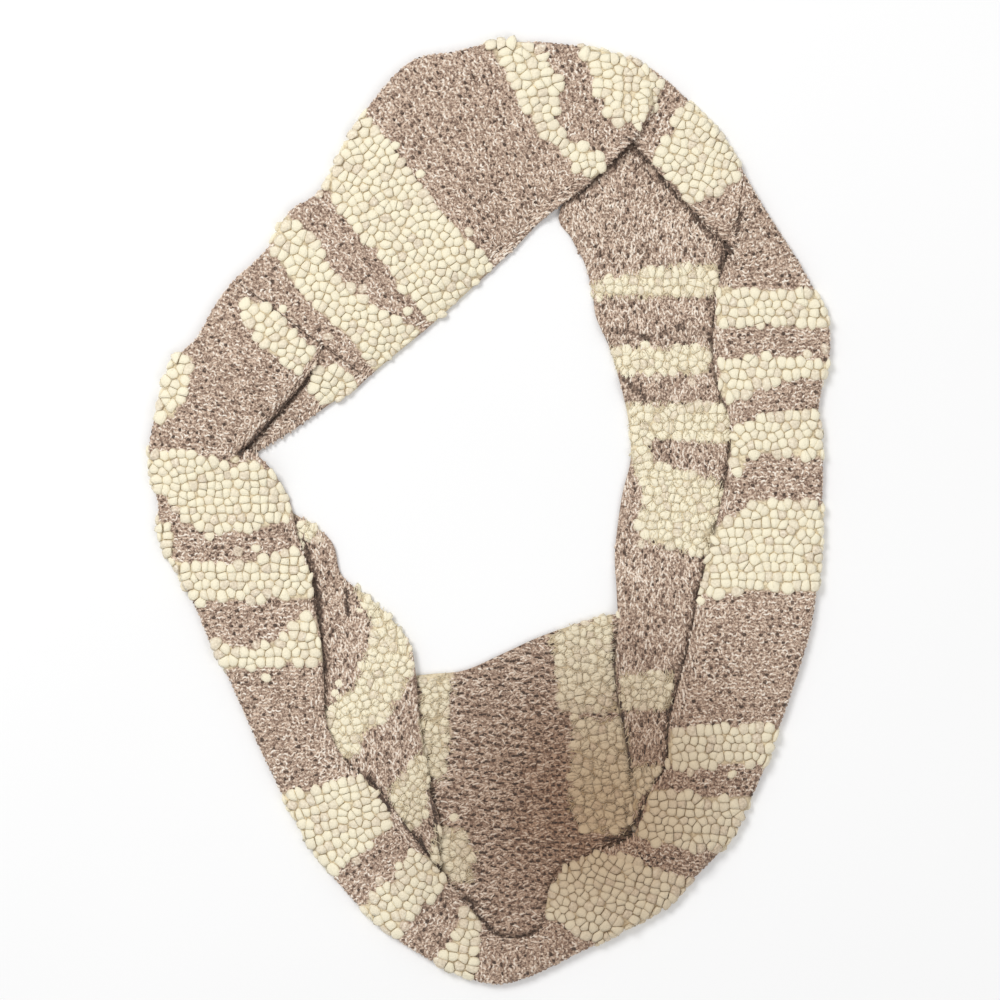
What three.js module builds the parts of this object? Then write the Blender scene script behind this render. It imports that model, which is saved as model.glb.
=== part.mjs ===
// A knitted infinity scarf laid flat as a ring, seen from above in the X-Y plane.
// Millimetres; X runs to the right, Y away from the wearer's side, Z up from the table.
// The cloth is one strip joined end to end and folded lengthwise: the fold is the ring's
// outer outline, the upper layer shows its bobbled side, and the lower layer shows its
// smooth side wherever it reaches further into the ring than the upper one.
import * as THREE from "three";

// Driving sizes of the cloth.
const WALL = 3.4; // thickness of the knit
const SLACK = 0.5; // air between two layers that lie on each other
const FOLD_RADIUS = 4; // outside radius of the lengthwise fold
const HEM_STEP = 14; // how far a hidden lower layer stops short of the upper one
const KNEE_AT = 0.6; // share of a row at which a lapped edge parts from the edge below it
const LAP = WALL + 2 * SLACK; // extra height of an upper layer that lies on another piece
const STEP_UP = WALL + 2 * SLACK; // height of a lower layer that lies on another piece
const PUFF = 2.4; // usual height of the air trapped in the middle of the fold

// Points on one section and sections between two rows of a table.
const TOP_POINTS = 8;
const FOLD_POINTS = 3;
const UNDER_POINTS = 6;
const STEPS = 3;

const YARN = { color: 0xb09a8c, roughness: 0.95, metalness: 0 };
const CREAM_YARN = { color: 0xe6dcc0, roughness: 0.95, metalness: 0 };

// Each row is one course of the knit across the band. Its columns are the place of the
// fold (outer), of the upper layer's free edge (edge) and of the lower layer's (inner),
// where the upper row bends (knee), the height added to the upper edge (lap) and to the
// lower layer (rise), how much the upper edge falls to the table (drop), and the puff.
const UPPER_LEFT = [
  { outer: [117, 329], edge: [104, 271], inner: [101, 293], knee: [120.5, 296], lap: LAP },
  { outer: [99, 336], edge: [97, 264], inner: [80, 286], lap: LAP * 0.6 },
  { outer: [72, 343], edge: [84, 251], inner: [56, 273] },
  { outer: [40, 347], edge: [67, 236], inner: [38, 257] },
  { outer: [4, 347], edge: [50, 223], inner: [32, 240] },
  { outer: [-28, 340], edge: [33, 209], drop: 1, puff: 3.4 },
  { outer: [-59, 333], edge: [19, 194], drop: 1, puff: 3.6 },
  { outer: [-87, 304], edge: [4, 180], drop: 1, puff: 3.6 },
  { outer: [-108, 270], edge: [-20, 158], drop: 1, puff: 3.2 },
  { outer: [-125, 238], edge: [-42, 138], drop: 1 },
  { outer: [-149, 222], edge: [-60, 123], drop: 1 },
  { outer: [-166, 194], edge: [-76, 110], drop: 1 },
  { outer: [-190, 171.5], edge: [-90.3, 97.8], drop: 1 },
];

const TOP_TURN = [
  { outer: [186.5, 251.7], edge: [181, 192], inner: [172, 258.5], knee: [183.6, 218] },
  { outer: [183, 259], edge: [170, 201], inner: [165, 262] },
  { outer: [176, 270], edge: [157, 214], inner: [156, 267] },
  { outer: [165, 286], edge: [143, 228], inner: [146, 272] },
  { outer: [152, 299], edge: [130, 243], inner: [136, 277] },
  { outer: [141, 310], edge: [116, 257], inner: [125, 282] },
  { outer: [129, 320.5], edge: [107, 269], inner: [114, 286] },
  { outer: [117.6, 329], edge: [100, 281], inner: [106, 289], knee: [120.9, 296] },
];

const RIGHT = [
  { outer: [150.4, -273], edge: [79, -250.8], inner: [148.5, -262], puff: 4 },
  { outer: [166, -257], edge: [94, -246], inner: [150, -246], rise: STEP_UP, puff: 4 },
  { outer: [180, -240], edge: [107, -236], inner: [104, -231], rise: STEP_UP, puff: 3.6 },
  { outer: [196, -208], edge: [117, -208], inner: [108, -206], rise: STEP_UP },
  { outer: [205, -187], edge: [130, -187], inner: [101, -183], rise: STEP_UP },
  { outer: [217, -154], edge: [131.5, -157], inner: [95, -150], rise: STEP_UP },
  { outer: [231, -113], edge: [142, -115], inner: [91, -116], rise: STEP_UP },
  { outer: [237.5, -90], edge: [148, -90], inner: [94, -88], rise: STEP_UP },
  { outer: [241.5, -68], edge: [152.5, -66], inner: [93, -58], rise: STEP_UP * 0.4 },
  { outer: [245.5, -30], edge: [161, -31], inner: [92, -30] },
  { outer: [246.5, 5], edge: [170, 6], inner: [97, 10] },
  { outer: [247, 36], edge: [176, 36], inner: [103.5, 38] },
  { outer: [244, 68], edge: [177, 64], inner: [102, 66] },
  { outer: [246.5, 92], edge: [168.5, 91], inner: [95.5, 95] },
  { outer: [252, 115], edge: [164, 115], inner: [88, 120] },
  { outer: [251.5, 138], edge: [165, 139], inner: [78, 143] },
  { outer: [242, 160], edge: [167, 161], inner: [75, 163] },
  { outer: [229, 184], edge: [172, 179], inner: [69, 184] },
  { outer: [212, 211], edge: [176, 187], inner: [60, 201], lap: LAP * 0.5 },
  { outer: [198, 233], edge: [175.5, 190], inner: [52, 224], lap: LAP },
  { outer: [187.2, 250.6], edge: [174.5, 193], inner: [99, 281], knee: [184, 217.8], lap: LAP },
];

const BOTTOM = [
  { outer: [-11.7, -347.6], edge: [-7, -301], inner: [-80, -128] },
  { outer: [-3, -350.4], edge: [-1, -309], inner: [-50, -121] },
  { outer: [8, -351.2], edge: [8, -314], inner: [-20, -118] },
  { outer: [24, -347.4], edge: [22, -315], inner: [8, -106] },
  { outer: [44, -339], edge: [37, -309], inner: [34, -94] },
  { outer: [75, -323], edge: [41, -293], inner: [56, -86], puff: 3.4 },
  { outer: [111, -304], edge: [46, -272], inner: [82, -78], puff: 4 },
  { outer: [132, -291], edge: [60, -261], inner: [100, -76], puff: 4 },
  { outer: [149.7, -273.4], edge: [78, -251.5], inner: [114, -80], puff: 4 },
];

const LEFT = [
  { outer: [-190.3, 171.2], edge: [-123, 121], inner: [-130, 126.5] },
  { outer: [-204, 153], edge: [-130, 105], inner: [-145, 112], lap: LAP, puff: 4 },
  { outer: [-219, 127], edge: [-141, 90], inner: [-160, 98], lap: LAP, puff: 5 },
  { outer: [-238, 108], edge: [-156, 72], inner: [-176, 80], lap: LAP, puff: 5 },
  { outer: [-247, 75], edge: [-173, 54], inner: [-190, 64], lap: LAP, puff: 5 },
  { outer: [-253, 50], edge: [-186, 42], inner: [-200, 50], lap: LAP, puff: 4 },
  { outer: [-253, 38], edge: [-173, 42], inner: [-201, 38], lap: LAP, puff: 3.4 },
  { outer: [-251, 24], edge: [-160, 29], inner: [-190, 26], lap: LAP * 0.4, puff: 3 },
  { outer: [-246.5, 5], edge: [-148, 8], inner: [-160, 7], drop: 1 },
  { outer: [-245, -22], edge: [-140.5, -22], inner: [-119, -20] },
  { outer: [-231, -47], edge: [-132, -47], inner: [-109, -48] },
  { outer: [-219, -71], edge: [-129, -70], inner: [-86, -67] },
  { outer: [-209, -95], edge: [-124, -96], inner: [-61, -94], rise: STEP_UP * 0.7 },
  { outer: [-195, -122], edge: [-122, -121], inner: [-54.5, -118], rise: STEP_UP },
  { outer: [-180, -156], edge: [-120, -155], inner: [-52, -150], rise: STEP_UP },
  { outer: [-164, -191], edge: [-106, -184], inner: [-47, -182], rise: STEP_UP },
  { outer: [-144, -230], edge: [-81, -206], inner: [-44, -206], rise: STEP_UP },
  { outer: [-117, -271], edge: [-61, -232], inner: [-37, -228], rise: STEP_UP },
  { outer: [-85, -305], edge: [-43, -257], inner: [-37, -262], rise: STEP_UP },
  { outer: [-52, -329], edge: [-27, -278], inner: [-36, -298] },
  { outer: [-12.3, -347.4], edge: [-7.6, -300.8], inner: [-17, -337] },
];

const LEFT_TUCK = [
  { outer: [-121, 120.2], edge: [-90.7, 97.4], drop: 1, puff: 1 },
  { outer: [-133, 106], edge: [-102, 87], drop: 1, puff: 0 },
  { outer: [-150, 92], edge: [-115, 80.5], drop: 1, puff: 0 },
  { outer: [-165, 76], edge: [-131, 69.5], drop: 1, puff: 0 },
  { outer: [-181, 60], edge: [-147, 58.5], drop: 1, puff: 0 },
  { outer: [-191, 49], edge: [-163, 49], drop: 1, puff: 0 },
  { outer: [-194, 42], edge: [-172, 43], drop: 1, puff: 0 },
];

// Soft creases (below zero) and ridges across a layer, each along a line on the table.
const CREASES = [
  { layer: "under", from: [79, 133], to: [163, 134], height: 3.2, width: 7 },
  { layer: "under", from: [95, 92], to: [116, 84], height: 3, width: 6 },
  { layer: "top", from: [-239, 58], to: [-236, -12], height: -1.6, width: 6 },
  { layer: "under", from: [50, -134], to: [92, -146], height: 2.6, width: 7 },
  { layer: "under", from: [30, -240], to: [100, -240], height: 2.4, width: 8 },
];

const lerp = (a, b, t) => a + (b - a) * t;

const mix = (p, q, t) => p.map((value, axis) => lerp(value, q[axis], t));

const distance = (p, q) => Math.hypot(q[0] - p[0], q[1] - p[1]);

const smooth = (t) => {
  const clamped = Math.min(1, Math.max(0, t));
  return clamped * clamped * (3 - 2 * clamped);
};

const spline = (a, b, c, d, t) =>
  0.5 * (2 * b + (c - a) * t + (2 * a - 5 * b + 4 * c - d) * t * t + (3 * b - a - 3 * c + d) * t ** 3);

// A row with every column filled in.
function complete(row) {
  const { outer, edge } = row;
  const shortened = 1 - HEM_STEP / distance(outer, edge);
  return {
    outer,
    edge,
    inner: row.inner ?? mix(outer, edge, shortened),
    knee: row.knee ?? mix(outer, edge, KNEE_AT),
    lap: row.lap ?? 0,
    rise: row.rise ?? 0,
    drop: row.drop ?? 0,
    puff: row.puff ?? PUFF,
  };
}

// The row a share t of the way from row i to the next: places follow a spline.
function between(rows, i, t) {
  const at = (index) => rows[Math.min(rows.length - 1, Math.max(0, index))];
  const [a, b, c, d] = [at(i - 1), at(i), at(i + 1), at(i + 2)];
  const place = (key) => [0, 1].map((axis) => spline(a[key][axis], b[key][axis], c[key][axis], d[key][axis], t));
  const height = (key) => lerp(b[key], c[key], smooth(t));
  return {
    outer: place("outer"),
    edge: place("edge"),
    inner: place("inner"),
    knee: place("knee"),
    lap: height("lap"),
    rise: height("rise"),
    drop: height("drop"),
    puff: height("puff"),
  };
}

function spread(rows) {
  const filled = rows.map(complete);
  const rings = [];
  for (let i = 0; i < filled.length - 1; i += 1) {
    for (let step = 0; step < STEPS; step += 1) {
      rings.push(between(filled, i, step / STEPS));
    }
  }
  rings.push(filled[filled.length - 1]);
  return rings;
}

function relief(layer, x, y) {
  let height = 0;
  for (const crease of CREASES) {
    if (crease.layer !== layer) continue;
    const along = [crease.to[0] - crease.from[0], crease.to[1] - crease.from[1]];
    const offset = [x - crease.from[0], y - crease.from[1]];
    const share = (offset[0] * along[0] + offset[1] * along[1]) / (along[0] ** 2 + along[1] ** 2);
    const nearest = mix(crease.from, crease.to, Math.min(1, Math.max(0, share)));
    height += crease.height * Math.exp(-((distance(nearest, [x, y]) / crease.width) ** 2));
  }
  return height;
}

// The middle of the wall across the band, from the lower layer's edge round the fold to
// the upper layer's edge. Each point has its place, height and direction into the ring.
function midline(row) {
  const underLength = distance(row.outer, row.inner);
  const kneeLength = distance(row.outer, row.knee);
  const topLength = kneeLength + distance(row.knee, row.edge);
  const underWay = mix([0, 0], [row.inner[0] - row.outer[0], row.inner[1] - row.outer[1]], 1 / underLength);
  const topWay = mix([0, 0], [row.knee[0] - row.outer[0], row.knee[1] - row.outer[1]], 1 / kneeLength);
  const lapWay = mix([0, 0], [row.edge[0] - row.knee[0], row.edge[1] - row.knee[1]], 1 / (topLength - kneeLength));
  const radius = FOLD_RADIUS - WALL / 2;
  const go = (start, way, length) => [start[0] + way[0] * length, start[1] + way[1] * length];
  const lifted = (s) => row.rise * smooth(s / (0.55 * underLength));
  const points = [];

  for (let i = 0; i <= UNDER_POINTS; i += 1) {
    const s = lerp(underLength, FOLD_RADIUS, i / UNDER_POINTS);
    const place = go(row.outer, underWay, s);
    points.push({ place, way: underWay, height: lifted(s) + WALL / 2 + relief("under", ...place) });
  }
  for (let i = 1; i <= FOLD_POINTS; i += 1) {
    const share = i / (FOLD_POINTS + 1);
    const angle = Math.PI * (share - 0.5);
    const way = mix(underWay, topWay, share);
    const place = go(row.outer, way, FOLD_RADIUS - radius * Math.cos(angle));
    points.push({ place, way, height: FOLD_RADIUS + radius * Math.sin(angle) });
  }
  for (let i = 0; i <= TOP_POINTS; i += 1) {
    const share = i / TOP_POINTS;
    const s = lerp(FOLD_RADIUS, topLength, share);
    const past = s > kneeLength;
    const place = past ? go(row.knee, lapWay, s - kneeLength) : go(row.outer, topWay, s);
    const seat = lerp(2 * FOLD_RADIUS - WALL, WALL + SLACK, smooth(share * 2));
    const fall = row.drop * (WALL + SLACK) * smooth((s - topLength + HEM_STEP + 6) / (HEM_STEP + 4));
    const lap = row.lap * smooth(share / KNEE_AT);
    const puff = row.puff * Math.sin(Math.PI * share) ** 0.8;
    const height = seat + WALL / 2 + lifted(s) + lap + puff - fall + relief("top", ...place);
    points.push({ place, way: past ? lapWay : topWay, height });
  }
  return points;
}

// The closed outline of the wall: out along its outside, back along its inside, with a
// rounded nose at both free edges.
function section(row) {
  const points = midline(row);
  const sides = { outside: [], inside: [] };
  points.forEach((point, i) => {
    const before = points[Math.max(0, i - 1)];
    const after = points[Math.min(points.length - 1, i + 1)];
    const moved = [after.place[0] - before.place[0], after.place[1] - before.place[1]];
    const run = moved[0] * point.way[0] + moved[1] * point.way[1];
    const climb = after.height - before.height;
    const size = Math.hypot(run, climb);
    const free = i === 0 || i === points.length - 1;
    const half = free ? WALL * 0.28 : WALL / 2;
    const across = (-climb / size) * half;
    const up = (run / size) * half;
    const corner = (sign) => [
      point.place[0] + sign * across * point.way[0],
      point.place[1] + sign * across * point.way[1],
      point.height + sign * up,
    ];
    sides.outside.push(corner(1));
    sides.inside.push(corner(-1));
  });
  return sides;
}

function stretch(name, rows, finish) {
  const rings = spread(rows).map(section);
  const count = rings[0].outside.length;
  const size = 2 * count;
  const positions = [];
  for (const ring of rings) {
    positions.push(...ring.outside, ...[...ring.inside].reverse());
  }
  const faces = [];
  const quad = (a, b, c, d) => faces.push([a, b, c], [a, c, d]);
  for (let j = 0; j < rings.length - 1; j += 1) {
    for (let k = 0; k < size; k += 1) {
      const next = (k + 1) % size;
      quad(j * size + k, j * size + next, (j + 1) * size + next, (j + 1) * size + k);
    }
  }
  const last = (rings.length - 1) * size;
  for (let k = 0; k < count - 1; k += 1) {
    const back = size - 1 - k;
    quad(k, back, back - 1, k + 1);
    quad(last + k, last + k + 1, last + back - 1, last + back);
  }
  return solid(name, positions, faces, finish);
}

// Turns every face outward and makes the mesh.
function solid(name, positions, faces, finish) {
  let volume = 0;
  for (const [a, b, c] of faces) {
    const [p, q, r] = [positions[a], positions[b], positions[c]];
    volume += p[0] * (q[1] * r[2] - q[2] * r[1]) + p[1] * (q[2] * r[0] - q[0] * r[2]);
    volume += p[2] * (q[0] * r[1] - q[1] * r[0]);
  }
  const turned = volume < 0 ? faces.map(([a, b, c]) => [a, c, b]) : faces;
  const geometry = new THREE.BufferGeometry();
  geometry.setAttribute("position", new THREE.Float32BufferAttribute(positions.flat(), 3));
  geometry.setIndex(turned.flat());
  geometry.computeVertexNormals();
  const mesh = new THREE.Mesh(geometry, new THREE.MeshStandardMaterial(finish));
  mesh.name = name;
  return mesh;
}

const scarf = new THREE.Group();
scarf.name = "infinity_scarf";
scarf.add(stretch("upper_left_stretch", UPPER_LEFT, YARN));
scarf.add(stretch("top_turn", TOP_TURN, YARN));
scarf.add(stretch("right_stretch", RIGHT, YARN));
scarf.add(stretch("bottom_stretch", BOTTOM, YARN));
scarf.add(stretch("left_stretch", LEFT, YARN));
scarf.add(stretch("left_tuck", LEFT_TUCK, CREAM_YARN));

export default scarf;
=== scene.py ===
"""A knitted infinity scarf, folded lengthwise and laid flat as a ring on a pale floor.

The cloth is one strip joined end to end. The fold is the ring's outer outline, the upper
layer shows the bobbled side of the knit, and the lower layer shows the smooth side where
it reaches further into the ring. Sizes are in millimetres until a mesh is made.
"""
import logging
import math
from dataclasses import dataclass, field
from enum import Enum
from typing import Any

import bmesh
import bpy
import numpy as np
from mathutils import Matrix, Vector, noise


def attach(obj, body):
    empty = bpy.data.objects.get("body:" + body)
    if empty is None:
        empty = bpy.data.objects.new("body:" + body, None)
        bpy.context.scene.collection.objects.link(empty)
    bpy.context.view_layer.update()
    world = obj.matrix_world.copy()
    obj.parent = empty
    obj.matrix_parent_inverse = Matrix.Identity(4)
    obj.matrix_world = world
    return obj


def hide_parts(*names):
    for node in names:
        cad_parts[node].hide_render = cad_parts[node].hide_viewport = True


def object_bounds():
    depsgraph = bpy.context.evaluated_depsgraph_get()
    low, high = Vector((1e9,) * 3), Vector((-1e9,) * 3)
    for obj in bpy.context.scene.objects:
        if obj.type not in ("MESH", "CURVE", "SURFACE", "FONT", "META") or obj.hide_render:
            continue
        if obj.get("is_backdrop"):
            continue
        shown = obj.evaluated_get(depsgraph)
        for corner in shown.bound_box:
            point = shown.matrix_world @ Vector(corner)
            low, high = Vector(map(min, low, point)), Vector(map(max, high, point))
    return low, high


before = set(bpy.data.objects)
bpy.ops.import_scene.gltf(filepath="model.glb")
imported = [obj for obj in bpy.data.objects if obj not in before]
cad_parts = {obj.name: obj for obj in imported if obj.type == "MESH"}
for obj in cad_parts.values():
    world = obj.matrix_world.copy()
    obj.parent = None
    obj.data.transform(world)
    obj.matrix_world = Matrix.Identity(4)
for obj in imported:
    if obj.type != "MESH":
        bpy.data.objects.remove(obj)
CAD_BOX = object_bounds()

log = logging.getLogger("scarf")

Point = tuple[float, float]
Range = tuple[float, float]
Outlines = list[list[Point]]
Colour = tuple[float, float, float]
Stops = list[tuple[float, Colour]]

MM = 0.001

# Driving sizes of the cloth.
WALL = 3.4
SLACK = 0.5
FOLD_RADIUS = 4.0
HEM_STEP = 14.0
KNEE_AT = 0.6
LAP = WALL + 2 * SLACK
STEP_UP = WALL + 2 * SLACK
PUFF = 2.4

# The ground knit is thinner than the wall, because stitches and bobbles fill the rest.
GROUND = 2.2
LOWEST = 0.02

# A course has four places and then four heights, as single numbers.
PLACES = 8
HEIGHTS = 4

# The grid of a stretch: its cells, its points round the fold, and how finely rows are sampled.
GROUND_CELL = 3.0
FOLD_POINTS = 7
SAMPLES = 24

# What is taken off a grid's number of points to stay inside its last cell.
JUST_INSIDE = 1.001

# How far the cloth keeps inside its outline, at the fold, at the tucked strip's fold and at edges.
FOLD_INSET = 1.2
TUCK_INSET = -3.0
EDGE_INSET = 0.5

# The share of the lower layer's width over which it climbs onto what lies below it.
CLIMB = 0.55

# What the upper edge's fall to the table adds to the hem's step, where it starts and in length.
FALL_START = 6
FALL_LENGTH = 4

# How round the puffed cloth is, how much it waves, and how long its waves are.
CROWN = 0.8
WAVE = 0.35
WAVES = (13, 29, 17)

# How far the bobbled side goes on round the fold, and the smooth side below the upper layer.
ROUND_FOLD = 3
BELOW_EDGE = 14

# How wide and how deep the shade is beside the upper layer's edge.
EDGE_SHADE = 3.2
EDGE_DEPTH = 0.7

# Courses are laid in quarters. Where they spread past these shares, two or four stand for one.
QUARTERS = 4
FIRST_SPOT = 0.4
WIDE = 1.4
VERY_WIDE = 2.4
NARROWEST = 0.7

# How boxy a bobble is, how far its lumps stand out and how fine they are, and the step to the next.
FLAT_TOP = 2.5
LUMPS = 0.3
LUMPINESS = 1.5
LUMP_STEP = 7.3

# Half the seam between two pressed bobbles, and the least half width that is left of one.
SEAM = 0.08
LEAST_HALF = 1.3

# Forms that lean over an outer fold aren't shaded as gaps: the start and pace of that, by slope.
OPEN_START = 1.35
OPEN_PACE = 1.2

# The least length that is divided by, and how close points are that become one.
TINY = 1e-9
MERGE = 1e-5

# The Mix node's sockets for colours.
MIX_FIRST = 6
MIX_SECOND = 7
MIX_RESULT = 2


class Layer(Enum):
    """The two layers of the folded band."""

    UPPER = "upper"
    LOWER = "lower"


class Side(Enum):
    """The faces of the cloth that carry knit."""

    BOBBLED = "bobbled"
    SMOOTH = "smooth"
    TABLE = "table"


@dataclass(frozen=True)
class Course:
    """One row of the knit across the band.

    The places are those of the fold (outer), the upper layer's free edge (edge), the lower
    layer's edge (inner) and the bend of an upper row (knee). The heights are what the
    upper edge (lap) and the lower layer (rise) gain, the share by which the upper edge
    falls to the table (drop), and the air in the fold (puff).
    """

    outer: Point
    edge: Point
    inner: Point | None = None
    knee: Point | None = None
    lap: float = 0.0
    rise: float = 0.0
    drop: float = 0.0
    puff: float = PUFF

    def values(self) -> np.ndarray:
        """Give the row as plain numbers.

        Returns:
            Its four places and then its four heights, twelve numbers.
        """
        outer, edge = np.array(self.outer), np.array(self.edge)
        way = edge - outer
        inner = self.inner or outer + way * (1 - HEM_STEP / np.hypot(*way))
        knee = self.knee or outer + way * KNEE_AT
        return np.array([*outer, *edge, *inner, *knee, self.lap, self.rise, self.drop, self.puff])


@dataclass(frozen=True)
class Crease:
    """A soft trough, below zero, or ridge along a line on one layer."""

    layer: Layer
    start: Point
    end: Point
    height: float
    width: float


@dataclass(frozen=True)
class HollowShade:
    """A line along which the knit is in shade, fully where its depth is one."""

    start: Point
    end: Point
    width: float
    depth: float = 1.0


UPPER_LEFT = [
    Course((117, 329), (104, 271), (101, 293), (120.5, 296), lap=LAP),
    Course((99, 336), (97, 264), (80, 286), lap=LAP * 0.6),
    Course((72, 343), (84, 251), (56, 273)),
    Course((40, 347), (67, 236), (38, 257)),
    Course((4, 347), (50, 223), (32, 240)),
    Course((-28, 340), (33, 209), drop=1, puff=3.4),
    Course((-59, 333), (19, 194), drop=1, puff=3.6),
    Course((-87, 304), (4, 180), drop=1, puff=3.6),
    Course((-108, 270), (-20, 158), drop=1, puff=3.2),
    Course((-125, 238), (-42, 138), drop=1),
    Course((-149, 222), (-60, 123), drop=1),
    Course((-166, 194), (-76, 110), drop=1),
    Course((-190, 171.5), (-90.3, 97.8), drop=1),
]

TOP_TURN = [
    Course((186.5, 251.7), (181, 192), (172, 258.5), (183.6, 218)),
    Course((183, 259), (170, 201), (165, 262)),
    Course((176, 270), (157, 214), (156, 267)),
    Course((165, 286), (143, 228), (146, 272)),
    Course((152, 299), (130, 243), (136, 277)),
    Course((141, 310), (116, 257), (125, 282)),
    Course((129, 320.5), (107, 269), (114, 286)),
    Course((117.6, 329), (100, 281), (106, 289), (120.9, 296)),
]

RIGHT = [
    Course((150.4, -273), (79, -250.8), (148.5, -262), puff=4),
    Course((166, -257), (94, -246), (150, -246), rise=STEP_UP, puff=4),
    Course((180, -240), (107, -236), (104, -231), rise=STEP_UP, puff=3.6),
    Course((196, -208), (117, -208), (108, -206), rise=STEP_UP),
    Course((205, -187), (130, -187), (101, -183), rise=STEP_UP),
    Course((217, -154), (131.5, -157), (95, -150), rise=STEP_UP),
    Course((231, -113), (142, -115), (91, -116), rise=STEP_UP),
    Course((237.5, -90), (148, -90), (94, -88), rise=STEP_UP),
    Course((241.5, -68), (152.5, -66), (93, -58), rise=STEP_UP * 0.4),
    Course((245.5, -30), (161, -31), (92, -30)),
    Course((246.5, 5), (170, 6), (97, 10)),
    Course((247, 36), (176, 36), (103.5, 38)),
    Course((244, 68), (177, 64), (102, 66)),
    Course((246.5, 92), (168.5, 91), (95.5, 95)),
    Course((252, 115), (164, 115), (88, 120)),
    Course((251.5, 138), (165, 139), (78, 143)),
    Course((242, 160), (167, 161), (75, 163)),
    Course((229, 184), (172, 179), (69, 184)),
    Course((212, 211), (176, 187), (60, 201), lap=LAP * 0.5),
    Course((198, 233), (175.5, 190), (52, 224), lap=LAP),
    Course((187.2, 250.6), (174.5, 193), (99, 281), (184, 217.8), lap=LAP),
]

BOTTOM = [
    Course((-11.7, -347.6), (-7, -301), (-80, -128)),
    Course((-3, -350.4), (-1, -309), (-50, -121)),
    Course((8, -351.2), (8, -314), (-20, -118)),
    Course((24, -347.4), (22, -315), (8, -106)),
    Course((44, -339), (37, -309), (34, -94)),
    Course((75, -323), (41, -293), (56, -86), puff=3.4),
    Course((111, -304), (46, -272), (82, -78), puff=4),
    Course((132, -291), (60, -261), (100, -76), puff=4),
    Course((149.7, -273.4), (78, -251.5), (114, -80), puff=4),
]

LEFT = [
    Course((-190.3, 171.2), (-123, 121), (-130, 126.5)),
    Course((-204, 153), (-130, 105), (-145, 112), lap=LAP, puff=4),
    Course((-219, 127), (-141, 90), (-160, 98), lap=LAP, puff=5),
    Course((-238, 108), (-156, 72), (-176, 80), lap=LAP, puff=5),
    Course((-247, 75), (-173, 54), (-190, 64), lap=LAP, puff=5),
    Course((-253, 50), (-186, 42), (-200, 50), lap=LAP, puff=4),
    Course((-253, 38), (-173, 42), (-201, 38), lap=LAP, puff=3.4),
    Course((-251, 24), (-160, 29), (-190, 26), lap=LAP * 0.4, puff=3),
    Course((-246.5, 5), (-148, 8), (-160, 7), drop=1),
    Course((-245, -22), (-140.5, -22), (-119, -20)),
    Course((-231, -47), (-132, -47), (-109, -48)),
    Course((-219, -71), (-129, -70), (-86, -67)),
    Course((-209, -95), (-124, -96), (-61, -94), rise=STEP_UP * 0.7),
    Course((-195, -122), (-122, -121), (-54.5, -118), rise=STEP_UP),
    Course((-180, -156), (-120, -155), (-52, -150), rise=STEP_UP),
    Course((-164, -191), (-106, -184), (-47, -182), rise=STEP_UP),
    Course((-144, -230), (-81, -206), (-44, -206), rise=STEP_UP),
    Course((-117, -271), (-61, -232), (-37, -228), rise=STEP_UP),
    Course((-85, -305), (-43, -257), (-37, -262), rise=STEP_UP),
    Course((-52, -329), (-27, -278), (-36, -298)),
    Course((-12.3, -347.4), (-7.6, -300.8), (-17, -337)),
]

LEFT_TUCK = [
    Course((-121, 120.2), (-90.7, 97.4), drop=1, puff=1),
    Course((-133, 106), (-102, 87), drop=1, puff=0),
    Course((-150, 92), (-115, 80.5), drop=1, puff=0),
    Course((-165, 76), (-131, 69.5), drop=1, puff=0),
    Course((-181, 60), (-147, 58.5), drop=1, puff=0),
    Course((-191, 49), (-163, 49), drop=1, puff=0),
    Course((-194, 42), (-172, 43), drop=1, puff=0),
]

CREASES = [
    Crease(Layer.LOWER, (79, 133), (163, 134), 3.2, 7),
    Crease(Layer.LOWER, (95, 92), (116, 84), 3, 6),
    Crease(Layer.UPPER, (-239, 58), (-236, -12), -1.6, 6),
    Crease(Layer.LOWER, (50, -134), (92, -146), 2.6, 7),
    Crease(Layer.LOWER, (30, -240), (100, -240), 2.4, 8),
    Crease(Layer.UPPER, (-137, 94), (-188, 37), -2.4, 4.5),
]

# Lines of painted shade, where the knit lies deep between two layers or below a fold.
HOLLOW_SHADES = [
    HollowShade((-134, 97), (-188, 37), 2.0),
    HollowShade((174, 186), (176, 197), 1.8),
    HollowShade((184, 218), (181, 202), 1.2),
    HollowShade((101, 275), (166, 200), 1.6),
    HollowShade((103, 269), (64, 231), 1.5),
    HollowShade((92, 134), (102, 131), 1.4, 0.5),
    HollowShade((102, 131), (118, 128), 1.6, 0.6),
    HollowShade((118, 128), (138, 135), 1.2, 0.4),
    HollowShade((138, 135), (162, 131), 1.4, 0.5),
    HollowShade((98, 97), (115, 83), 1.8, 0.7),
    HollowShade((168, 6), (163, -31), 1.8, 0.8),
    HollowShade((-138, -20), (-130, -46), 2.0, 0.9),
    HollowShade((-130, -46), (-126, -76), 2.4),
    HollowShade((-126, -76), (-121, -120), 1.4, 0.8),
    HollowShade((-106, -60), (-105, -76), 1.8),
    HollowShade((-90, -196), (-74, -220), 2.4),
    HollowShade((-62, -231), (-33, -269), 1.6),
    HollowShade((-53, -122), (-46, -182), 1.6),
    HollowShade((-45, -190), (-36, -262), 1.6),
    HollowShade((-18, -286), (-12, -290), 2.6),
    HollowShade((-12, -296), (5, -313), 1.6),
    HollowShade((84, -243), (99, -241), 1.6, 0.9),
    HollowShade((-199, 35), (-198, 10), 1.6, 0.4),
    HollowShade((-234, 42), (-231, 8), 2.0, 0.35),
    HollowShade((-203, -42), (-196, -60), 1.6, 0.5),
    HollowShade((92, -92), (91, -118), 1.6),
    HollowShade((91, -118), (107, -206), 1.6),
]

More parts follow.
